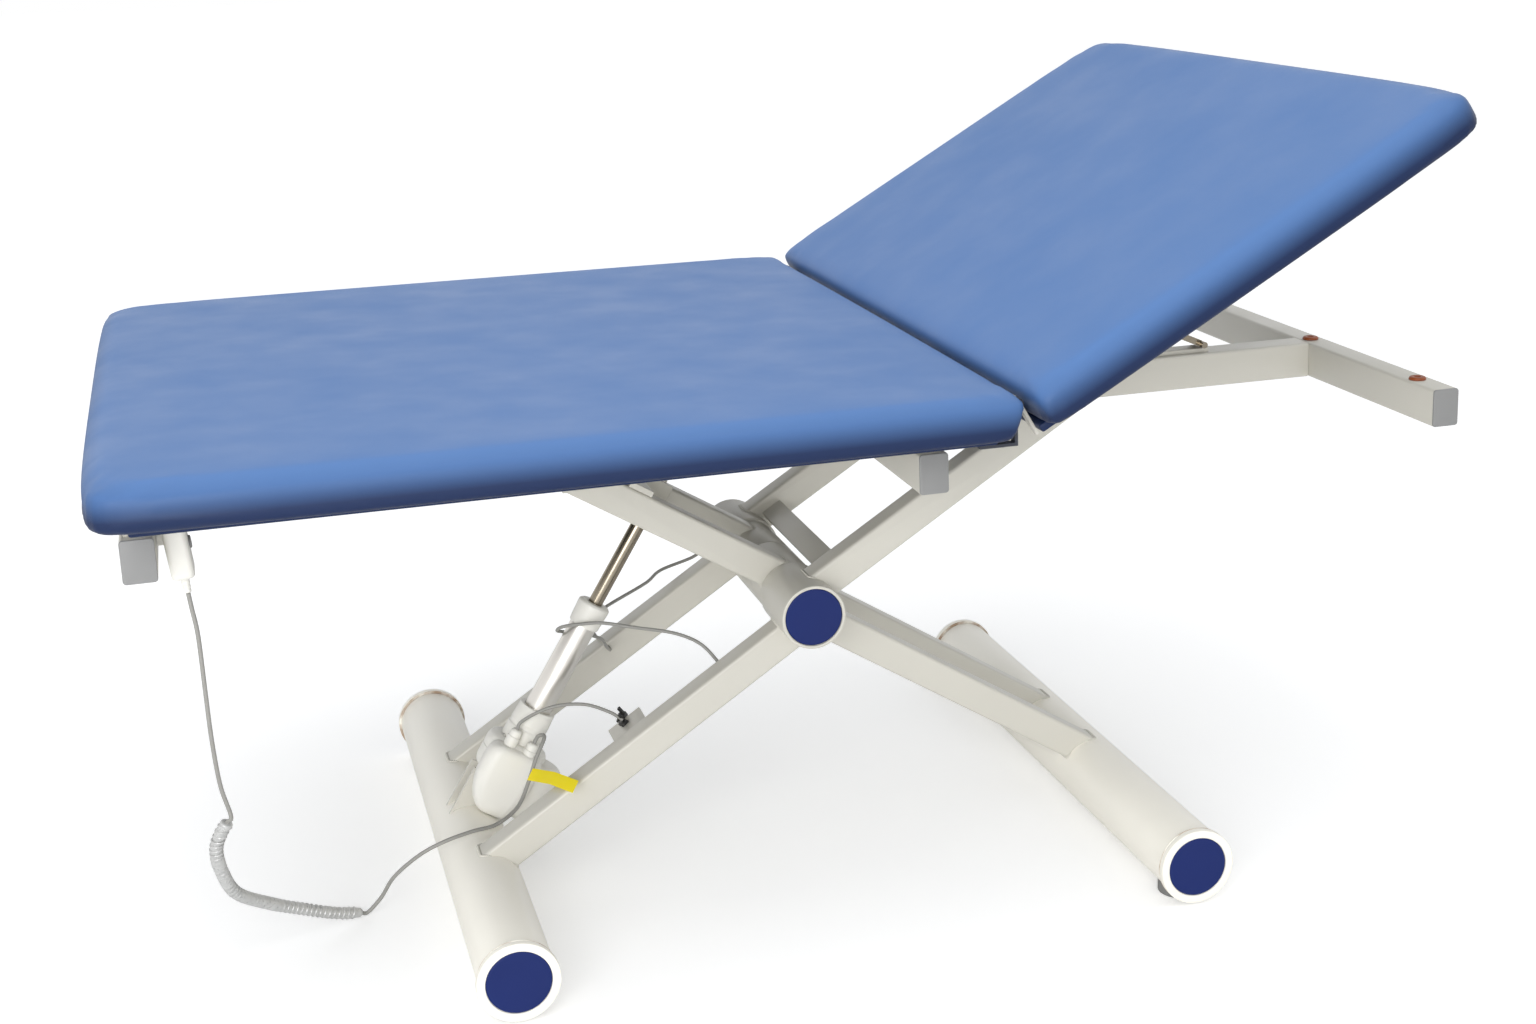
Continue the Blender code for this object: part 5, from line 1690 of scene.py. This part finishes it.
@dataclass
class Decks:
    """Boards under the pads, with their staples, hinges, back rails and prop."""

    repeater: Repeater
    width: float = 1.10
    thickness: float = 0.0114
    seat: tuple[float, float] = (-0.870, 1.032)
    seat_z: float = 0.716
    back: tuple[float, float] = (0.0063, 0.6517)
    back_z: float = -0.044
    staple_step: float = 0.030
    staple_inset: float = 0.030
    hem: float = 0.045
    foot_screws: tuple[float, float] = (0.145, 0.172)
    foot_screw_y: float = 0.5377
    foot_screw_z: float = 0.7055
    block_screws: tuple[float, float] = (0.211, 0.252)
    block_screw_y: float = 0.034
    block_face: float = 0.0552

    def board(self, node: str, body: str, span: tuple[float, float], z: float, place: Matrix) -> None:
        """One board with a row of staples under its edge.

        Args:
            node: The board's node.
            body: The body that it moves with.
            span: Where it starts and its length.
            z: Height of its middle.
            place: Where its own axes go.
        """
        start, length = span
        middle = place @ Matrix.Translation((start + length / 2, 0, z))
        shape = Shape().add(bar(length, self.width, self.thickness, 0.0030, 0.0030), middle)
        wrap = shape.to_object(node + "_wrap", VINYL)
        # Painted shade: the board's vinyl wrap is darkened all over, standing in for the shade under the pad.
        mark_depth(wrap, [1.0] * len(wrap.data.vertices))
        install(wrap, body, (node,))
        cover = bar(length - 2 * self.hem, self.width - 2 * self.hem, 0.0006, 0.0002, 0.0002, 2)
        shape = Shape().add(cover, middle @ Matrix.Translation((0, 0, -self.thickness / 2 - 0.0002)))
        shape.deliver(node + "_cloth", BOARD, body)
        a, b = length / 2 - self.staple_inset, self.width / 2 - self.staple_inset
        below = -self.thickness / 2
        loop = [middle @ Vector((x, y, below)) for x, y in ((-a, -b), (a, -b), (a, b), (-a, b))]
        staple = bar(0.010, 0.0013, 0.0009, 0.0004, 0.0003, 2)
        obj = self.repeater.on_lines(node + "_staples", [loop], True, staple, self.staple_step, ZINC)
        install(obj, body)

    def screws(self) -> None:
        """Dome screws under the hinge feet and the prop's block."""
        dome = [(0, 0.0022), (0.0016, 0.0020), (0.0038, 0.0010), (0.0042, 0.0), (0, 0.0)]
        head = lathe(soften(dome, 0.0005), 20)
        down = Vector((0, 0, -1))
        feet = [
            aim(Vector((x, side.value * self.foot_screw_y, self.foot_screw_z)), down)
            for side in Side
            for x in self.foot_screws
        ]
        install(self.repeater.on_points("hinge_screws", feet, head, ZINC), "top_frame")
        turned = BACK_PLACE @ Matrix.Rotation(math.pi, 4, "X")
        spots = [(u, y) for u in self.block_screws for y in (self.block_screw_y, -self.block_screw_y)]
        block = [turned @ Matrix.Translation((u, y, self.block_face)) for u, y in spots]
        install(self.repeater.on_points("prop_block_screws", block, head, ZINC), "backrest")

    def build(self) -> None:
        """Makes both boards and the fittings between them."""
        self.board("seat_board", "top_frame", self.seat, self.seat_z, Matrix.Identity(4))
        self.board("back_board", "backrest", self.back, self.back_z, BACK_PLACE)
        self.screws()
        for side in Side:
            # The seat leaves are painted near black as painted shade.
            node_copy(f"seat_leaf_{side.label}", HINGE_SHADE, "top_frame", 0.0004)
            node_copy(f"back_leaf_{side.label}", ENAMEL, "backrest", 0.0004)
            node_copy(f"back_rail_{side.label}", ENAMEL, "backrest", 0.0)
        node_copy("prop_block", ENAMEL, "backrest", 0.0006)
        node_copy("back_prop", STEEL, "prop", 0.0006)


@dataclass
class Actuator:
    """The lifting motor with its barrel, sockets, tube, rod and brackets."""

    repeater: Repeater
    housing: float = 0.047
    span: tuple[float, float] = (0.016, 0.074)
    motor: float = 0.030
    motor_span: tuple[float, float] = (-0.030, 0.060)
    motor_place: tuple[float, float] = (0.047, -0.012)
    collar: float = 0.030
    collar_top: float = 0.128
    tube: float = 0.020
    tube_foot: float = 0.0883
    top_collar: tuple[float, float, float] = (0.0245, 0.268, 0.305)
    rod: float = 0.0105
    rod_inner: float = 0.0111
    shell_place: tuple[float, float] = (-0.004, -0.037)
    shell: tuple[tuple[float, float, float, float], ...] = (
        (-0.0340, 0.030, 0.018, 0.006), (-0.0325, 0.042, 0.026, 0.005), (-0.0290, 0.052, 0.033, 0.004),
        (-0.0220, 0.062, 0.038, 0.002), (-0.0100, 0.072, 0.041, 0.0), (0.0040, 0.080, 0.043, -0.001),
        (0.0200, 0.085, 0.044, -0.002), (0.0460, 0.086, 0.044, -0.002), (0.0580, 0.083, 0.043, -0.002),
        (0.0640, 0.078, 0.040, -0.002), (0.0680, 0.070, 0.034, -0.002), (0.0695, 0.060, 0.026, -0.002),
    )
    socket: float = 0.010
    screw_ring: float = 0.0295
    screw_turns: tuple[int, ...] = (-160, -70, 20, 110)
    rod_foot: float = 0.218
    eye: float = 0.013
    pin: tuple[float, float] = (0.0065, 0.0155)

    def motor_case(self) -> None:
        """The moulded case: main barrel with a parting seam, motor barrel, collar, tail and sockets."""
        low, high = self.span
        r = self.housing
        seam = (low + high) / 2 + 0.004
        case = soften([
            (0, low), (r - 0.010, low), (r - 0.003, low + 0.004), (r, low + 0.012), (r, seam - 0.0012),
            (r - 0.0012, seam), (r, seam + 0.0012), (r, high - 0.012), (r - 0.003, high - 0.004),
            (r - 0.011, high), (0, high),
        ], 0.003)
        shape = Shape().add(lathe(case, 72))
        a, b = self.motor_span
        m = self.motor
        barrel = soften([
            (0, a), (m * 0.72, a), (m, a + 0.008), (m, b - 0.014), (m - 0.001, b - 0.012),
            (m - 0.001, b - 0.006), (m * 0.7, b), (0, b),
        ], 0.004)
        shape.add(lathe(barrel, 56), Matrix.Translation((self.motor_place[0], self.motor_place[1], 0)))
        c = self.collar
        ring = soften([
            (self.tube + GAP, high - 0.004), (c, high - 0.004), (c, high + 0.020), (c - 0.0016, high + 0.022),
            (c - 0.0016, high + 0.026), (c - 0.001, high + 0.028), (c - 0.0025, self.collar_top),
            (self.tube + GAP, self.collar_top),
        ], 0.0015, True)
        shape.add(lathe(ring, 64, True))
        tail = bar(low + 0.026, 0.0268, 0.026, 0.004, 0.003)
        shape.add(tail, Matrix.Translation((0, 0, (low + 0.010) / 2 - 0.003)) @ STAND)
        s = self.socket
        for x, y, start, end in (LEAD_SOCKET, CORD_SOCKET):
            cup = soften([
                (0, start), (s, start), (s, end - 0.012), (s - 0.0012, end - 0.011),
                (s - 0.0012, end - 0.003), (s - 0.004, end), (0, end),
            ], 0.0012)
            shape.add(lathe(cup, 32), Matrix.Translation((x, y, 0)))
        shape.add(self.front_shell())
        placed = Shape().add(shape, ROD_PLACE)
        placed.deliver("motor_case", PALE_PLASTIC, "actuator", ("motor_housing",), SMOOTH)
        dome = [(0, 0.0005), (0.0012, 0.0006), (0.0016, 0.0018), (0.0030, 0.0016), (0.0034, 0.0), (0, 0.0)]
        head = lathe(soften(dome, 0.0004), 18)
        places = []
        for turn in self.screw_turns:
            a = math.radians(turn)
            spot = (self.screw_ring * math.cos(a), self.screw_ring * math.sin(a), high - 0.0002)
            places.append(ROD_PLACE @ Matrix.Translation(spot))
        install(self.repeater.on_points("motor_case_screws", places, head, ZINC), "actuator")

    def front_shell(self) -> Shape:
        """The bulging moulding in front of the bracket.

        Returns:
            The shell in the actuator's own axes.
        """
        rings = []
        across, front = self.shell_place
        for up, wide, deep, shift in self.shell:
            ring = section(wide, deep, min(wide, deep) * 0.42, 7)
            rings.append([Vector((x + across + shift, y + front, up)) for x, y in ring])
        return Shape().loft(rings)

    def tubes(self) -> None:
        """The fixed tube with its top collar, and the sliding rod with its eye."""
        t, i = self.tube, self.rod_inner
        c, start, end = self.top_collar
        foot, head = self.tube_foot, end - 0.012
        profile = soften([(i, head), (t, head), (t, foot), (i, foot)], 0.0012, True)
        shape = Shape().add(lathe(profile, 72, True), ROD_PLACE)
        shape.deliver("fixed_tube", ALUMINIUM, "actuator", ("outer_tube",))
        profile = soften([
            (i, end), (c - 0.0035, end), (c, end - 0.0035), (c - 0.0004, end - 0.012),
            (c - 0.0016, start + 0.003), (c - 0.0022, start), (t + 0.0001, start),
            (t + 0.0001, end - 0.010), (i, end - 0.010),
        ], 0.0014, True)
        shape = Shape().add(lathe(profile, 72, True), ROD_PLACE)
        shape.deliver("tube_top_collar", PALE_PLASTIC, "actuator")
        r, top = self.rod, ROD_LENGTH
        rod = soften([
            (0, self.rod_foot), (r, self.rod_foot), (r, top - 0.016), (r - 0.0015, top - 0.013),
            (r - 0.0015, top - 0.004), (0, top - 0.004),
        ], 0.001)
        shape = Shape().add(lathe(rod, 56), ROD_PLACE)
        across = Matrix.Translation(ROD_PIN) @ AROUND_Y
        pin, half = self.pin
        shape.add(round_bar(self.eye, -self.eye, self.eye, 48, 0.0015), across)
        shape.add(round_bar(pin, -half, half, 32, 0.001), across)
        shape.deliver("sliding_rod", STEEL, "rod", ("lift_rod",))

    def build(self) -> None:
        """Makes the actuator and its brackets."""
        self.motor_case()
        self.tubes()
        node_copy("actuator_mount", ENAMEL, "frame_a", 0.0006)
        node_copy("rod_mount", ENAMEL, "frame_b", 0.0006)


@dataclass
class Handset:
    """The hand control that hangs on the foot cross tube by its hook."""

    size: tuple[float, float, float] = (0.028, 0.048, 0.094)
    middle_z: float = 0.655
    y: float = -0.372
    tilt: float = math.radians(-6.0)
    button: float = 0.008
    spacing: float = 0.030
    hook: float = 0.003
    hook_drop: float = 0.034
    hook_over: float = 0.016
    stand_off: float = 0.005
    rims: tuple[tuple[float, float], ...] = (
        (0.0, -0.005), (0.012, -0.0022), (0.035, -0.0006), (0.08, 0.0),
        (0.92, 0.0), (0.965, -0.0006), (0.988, -0.0022), (1.0, -0.005),
    )

    def place(self) -> Matrix:
        """Where the handset's own axes go."""
        x = FOOT_TUBE_X + CROSS_TUBE[0] / 2 + self.hook + 2 * GAP + self.size[0] / 2 + self.stand_off
        return Matrix.Translation((x, self.y, self.middle_z)) @ Matrix.Rotation(self.tilt, 4, "Y")

    def button_place(self, number: int) -> Matrix:
        """Where one button's own axes go, counted from the top."""
        spot = (self.size[0] / 2, 0, self.size[2] / 4 - number * self.spacing)
        return self.place() @ Matrix.Translation(spot) @ STAND

    def body(self) -> None:
        """The two-shell case with its bezel, hook and strain relief."""
        thick, wide, tall = self.size
        rings = []
        for share, grow in self.rims:
            z = tall * (share - 0.5)
            ring = section(thick + 2 * grow, wide + 2 * grow, 0.0075 + grow / 2, 6)
            rings.append([Vector((a, b, z)) for a, b in ring])
        case = Shape().add(Shape().loft(rings), self.place())
        obj = case.to_object("handset_case", PALE_PLASTIC, SMOOTH)
        well = round_bar(self.button + 0.0006, -0.003, 0.003, 40)
        for number in range(2):
            combine(obj, Shape().add(well, self.button_place(number)), "DIFFERENCE")
        rest = Shape()
        neck = soften([(0, 0.004), (0.0055, 0.004), (0.0055, 0)] + [
            (0.0052 - 0.0012 * k / 8 + (0.0006 if k % 2 else 0.0), -0.002 - 0.0024 * k) for k in range(8)
        ] + [(0.0042, -0.0215), (0, -0.0215)], 0.0004)
        rest.add(lathe(neck, 28), self.place() @ Matrix.Translation((0, 0, -tall / 2)))
        top, face = FRAME_TOP + GAP, FOOT_TUBE_X + CROSS_TUBE[0] / 2 + GAP
        hook, deep, over = self.hook, self.hook_drop, self.hook_over
        plate = bar(hook, 0.026, deep + hook, 0.0012, 0.0008)
        lip = bar(over + hook, 0.0256, hook - 0.0002, 0.0012, 0.0008)
        block = bar(0.016, 0.022, 0.020, 0.002, 0.001)
        for shape, x, z in (
            (plate, face + hook / 2, top + hook - (deep + hook) / 2),
            (lip, face - over / 2 + hook / 2, top + hook / 2),
            (block, face + 0.009, top - 0.016),
        ):
            rest.add(shape, Matrix.Translation((x, self.y, z)))
        combine(obj, rest, "UNION")
        obj.data.set_sharp_from_angle(angle=math.radians(SMOOTH))
        install(obj, "top_frame", ("handset",))

    def buttons(self) -> None:
        """Two dished push buttons."""
        r = self.button
        profile = soften([
            (0, 0.0021), (r * 0.55, 0.0024), (r - 0.0014, 0.003), (r, 0.002), (r, -0.0015), (0, -0.0015),
        ], 0.0006)
        for number, (name, point) in enumerate((("up", 1), ("down", -1))):
            shape = Shape().add(lathe(profile, 40))
            corners = ((-0.003, 0), (0.0018, -0.003), (0.0018, 0.003))
            arrow = [Vector((point * x, y, 0.0026)) for x, y in corners]
            shape.loft([[p - Vector((0, 0, 0.001)) for p in arrow], arrow])
            node = f"button_{name}"
            Shape().add(shape, self.button_place(number)).deliver(node + "_cap", CAP_GREY, node, (node,))

    def build(self) -> None:
        """Makes the handset and its buttons."""
        self.body()
        self.buttons()


@dataclass
class Cords:
    """The handset cord with its taped stretch and tag, and the three leads on the frame."""

    repeater: Repeater
    handset: Handset
    radius: float = 0.0028
    lead: float = 0.0025
    tape: float = 0.0090
    straight: float = 0.012
    tag_size: tuple[float, float] = (0.072, 0.019)
    tag_place: tuple[float, float, float] = (-0.354, -0.0796, 0.150)
    tag_turn: float = math.radians(30.0)
    tag_lean: tuple[float, float, float] = (-0.41, -2.93, 1.238)
    tag_steps: int = 24
    fall: tuple[float, float, float] = (0.1438, 0.0, -0.815)
    inner: float = 0.1594

    def rod_place(self, across: float, y: float, up: float) -> Vector:
        """A world place from the actuator's own axes."""
        return ROD_PLACE @ Vector((across, y, up))

    def tape_route(self) -> list[Vector]:
        """The taped stretch's own points."""
        return from_foot([
            (0.118, -0.335, 0.268), (0.108, -0.328, 0.250), (0.101, -0.314, 0.224), (0.104, -0.290, 0.184),
            (0.119, -0.250, 0.132), (0.159, -0.200, 0.087), (0.205, -0.163, 0.053), (0.246, -0.135, 0.027),
            (0.280, -0.115, 0.0125),
        ])

    @staticmethod
    def length(route: list[Vector]) -> float:
        """Length of a route of points."""
        return sum((b - a).length for a, b in zip(route, route[1:]))

    def declare(
        self, name: str, route: list[Vector], radius: float, nodes: tuple[str, ...],
        ride: str | None,
    ) -> Piece:
        """Makes a cord's tube and says what it is.

        Args:
            Makes a cord's tube, then hands it to its body or hides the nodes that it stands for.
            route: Its centre points.
            radius: Its radius.
            nodes: The nodes that it stands for.
            ride: The body that it rides on, if it doesn't blend.

        Returns:
            The cord's object.
        """
        obj = sweep(route, [radius] * len(route), 14).to_object(name, CORD_GREY, 60.0)
        self.length(route)
        if ride:
            return install(obj, ride, nodes)
        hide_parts(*nodes)
        return obj

    def wrap(self) -> tuple[Piece, Piece]:
        """The crinkled tape round the cord, with its overlapping turns.

        Returns:
            The tape and its turns.
        """
        route = smooth_route(self.tape_route(), 150)
        last = len(route) - 1
        radii = []
        for i in range(last + 1):
            share = i / last
            swell = 0.90 + 0.05 * math.sin(23 * share) + 0.04 * math.sin(61 * share + 1.0)
            swell -= 0.06 * math.cos(2 * math.pi * share)
            radii.append(self.tape * min(1.0, swell) * (0.72 if i in (0, last) else 1.0))
        obj = sweep(route, radii, 28).to_object("cord_tape_wrap", TAPE_SILVER, 70.0)
        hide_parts("cord_tape")
        ring = Shape()
        turns = 22
        rim = []
        for k in range(turns):
            angle = 2 * math.pi * k / turns
            lean = 0.0035 * math.cos(angle)
            spokes = []
            for step in range(6):
                small = 2 * math.pi * step / 6
                reach = self.tape * 0.915 + 0.0009 * math.sin(small)
                x = lean + 0.0016 * math.cos(small)
                spokes.append(Vector((x, reach * math.cos(angle), reach * math.sin(angle))))
            rim.append(spokes)
        ring.loft(rim, closed=True)
        inner = route[6:-6]
        ribs = self.repeater.on_lines("cord_tape_turns", [inner], False, ring, 0.0085, TAPE_SILVER)
        return obj, ribs

    def handset_cord(self) -> None:
        """The cord from the handset, through the tape, to the motor's socket."""
        place = self.handset.place()
        tall = self.handset.size[2]
        y = self.handset.y
        drop = tall / 2 + 2 * GAP + 0.022
        leave, below = place @ Vector((0, 0, -drop)), place @ Vector((0, 0, -drop - 0.020))
        wrap = self.tape_route()
        into = (wrap[1] - wrap[0]).normalized()
        hang = [leave, below] + from_foot([
            (0.109, y, 0.530), (0.110, y + 0.006, 0.456), (0.111, y + 0.015, 0.388),
            (0.115, y + 0.026, 0.323),
        ])
        upper = smooth_route(hang + [wrap[0] - into * self.straight] + wrap, 120)
        tape, ribs = self.wrap()
        self.tag()
        obj = self.declare(
            "handset_cord_upper", upper, self.radius, ("cord_upper",), None
        )
        low_end = leave + Vector(self.fall)
        for piece in (obj, tape, ribs):
            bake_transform(piece, "top_frame", "frame_a", tuple(leave), tuple(low_end))
            LOG.info("%s bends between the top and the first frame", piece.name)
        out = (wrap[-1] - wrap[-2]).normalized()
        x, sy, _, end = CORD_SOCKET
        plug = [
            self.rod_place(x + 0.004, sy - 0.016, end + 0.018), self.rod_place(x, sy, end + 0.012),
            self.rod_place(x, sy, end - 0.004),
        ]
        rise = from_foot([
            (0.310, -0.110, 0.028), (0.330, -0.122, 0.062), (0.366, -0.132, 0.093), (0.402, -0.138, 0.1105),
            (0.442, -0.128, 0.1150), (0.478, -0.112, 0.1130), (0.512, -0.092, 0.126), (0.533, -0.076, 0.157),
            (0.545, -0.072, 0.186),
        ])
        start = wrap[-1] - out * 0.010
        lower = smooth_route([start, wrap[-1], wrap[-1] + out * self.straight] + rise + plug, 110)
        obj = self.declare("handset_cord_lower", lower, self.radius, ("cord_lower",), None)
        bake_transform(obj, "base_foot", "frame_a", tuple(start), tuple(from_foot([(0.440, -0.115, 0.030)])[0]))

    def tag(self) -> None:
        """The folded yellow film tag on the lower cord."""
        turn = Matrix.Translation(self.tag_place) @ Matrix.Rotation(self.tag_turn, 4, "Y")
        lean = Vector(self.tag_lean)
        rings = []
        for step in range(self.tag_steps + 1):
            share = step / self.tag_steps
            ring = []
            for side, edge in ((0, 0), (1, 0), (1, 1), (0, 1)):
                flat = turn @ Vector(((share - 0.5) * self.tag_size[0], 0, (edge - 0.5) * self.tag_size[1]))
                reach = 0.050 * share + 0.003 * (1 - edge) * min(1.0, share / 0.3)
                bow = Vector((0, 0.0009 * side, 0.007 * min(1.0, 2 * share)))
                ring.append(flat + lean * reach + bow)
            rings.append(ring)
        Shape().loft(rings).deliver("cord_tag", TAG_YELLOW, "frame_a", ("cord_flag",))

    def leads(self) -> None:
        """The leads to the cable plate, round the tube and to the pivot, and the black clips."""
        x, sy, _, end = LEAD_SOCKET
        start = [self.rod_place(x, sy, end - 0.004), self.rod_place(x, sy, end + 0.014)]
        lead = start + from_foot([
            (0.575, -0.055, 0.256), (0.620, -0.066, 0.258), (0.655, -0.078, 0.2455), (0.6725, -0.086, 0.2334),
        ])
        self.declare("socket_lead", smooth_route(lead, 60), self.lead, ("motor_lead",), "actuator")
        inner = self.inner
        loop = from_foot([
            (0.806, -inner, 0.322), (0.805, 0.014 - inner, 0.323), (0.785, -0.120, 0.346),
            (0.754, -0.088, 0.356), (0.705, -0.058, 0.361), (0.660, -0.036, 0.367), (0.630, -0.029, 0.367),
            (0.606, -0.013, 0.361), (0.600, 0.006, 0.350), (0.611, 0.026, 0.340), (0.640, 0.037, 0.330),
            (0.672, 0.060, 0.310), (0.688, 0.105, 0.280), (0.700, inner - 0.014, 0.260),
            (0.700, inner, 0.260),
        ])
        route = smooth_route(loop, 110)
        self.declare("tube_loop_lead", route, self.lead, ("loop_lead",), "actuator")
        rest = from_foot([
            (0.690, 0.214, 0.262), (0.668, 0.140, 0.304), (0.652, 0.070, 0.330), (0.655, 0.052, 0.345),
            (0.690, 0.075, 0.356), (0.760, 0.140, 0.362), (0.800, 0.215, 0.356), (0.860, 0.236, 0.366),
            (0.885, 0.244, 0.385),
        ])
        self.declare("pivot_lead", smooth_route(rest, 80), self.lead, (), "frame_a")
        line = (PIVOT - FOOT_AXIS).normalized()
        tilt = Matrix.Rotation(-math.atan2(line.z, line.x), 4, "Y")
        clip = Shape().add(bar(0.012, 0.016, 0.008, 0.002, 0.001))
        clip.add(bar(0.004, 0.006, 0.014, 0.0012, 0.0008), Matrix.Translation((0.003, 0.004, 0.008)))
        clip.add(bar(0.003, 0.022, 0.003, 0.001, 0.0006), Matrix.Translation((-0.003, -0.004, 0.005)))
        at = from_foot([(0.674, -0.088, 0.2285), (0.676, -0.066, 0.230)])
        places = [
            Matrix.Translation(point) @ tilt @ Matrix.Rotation(math.radians(turn), 4, "Z")
            for point, turn in zip(at, (15, -25))
        ]
        install(self.repeater.on_points("cable_clips", places, clip, CLIP_BLACK), "frame_a")

    def build(self) -> None:
        """Makes all the cords."""
        self.handset_cord()
        self.leads()


def main() -> None:
    """Builds the studio and every sub-assembly."""
    logging.basicConfig(level=logging.INFO, format="%(message)s")
    repeater = Repeater()
    handset = Handset()
    Studio().build()
    Cords(repeater, handset).build()
    handset.build()
    first = ScissorFrame("a", "frame_a", FOOT_AXIS, TOP_A, 0.180, 0.046, (0.1203, 0.240), repeater)
    second = ScissorFrame("b", "frame_b", HEAD_AXIS, TOP_B, 0.095, 0.043, (0.00015, 0.1197), repeater)
    first.build(CrossPieces().shapes(first))
    second.build([])
    BaseTube("foot", FOOT_AXIS, "frame_a", "base_foot").build()
    BaseTube("head", HEAD_AXIS, "frame_b", "base_head").build()
    PivotJoint().build()
    TopFrame(repeater).build()
    Decks(repeater).build()
    Actuator(repeater).build()
    seat = Matrix.Translation((FOOT_EDGE_X, 0, 0.722))
    back = BACK_PLACE @ Matrix.Translation((0.008, 0, -0.038))
    Cushion("seat_cushion", "top_frame", 1.104, 0.022, 4, seat).build()
    Cushion("back_cushion", "backrest", 0.700, 0.0, 0, back).build()
    bpy.context.view_layer.update()


if __name__ == "__main__":
    main()
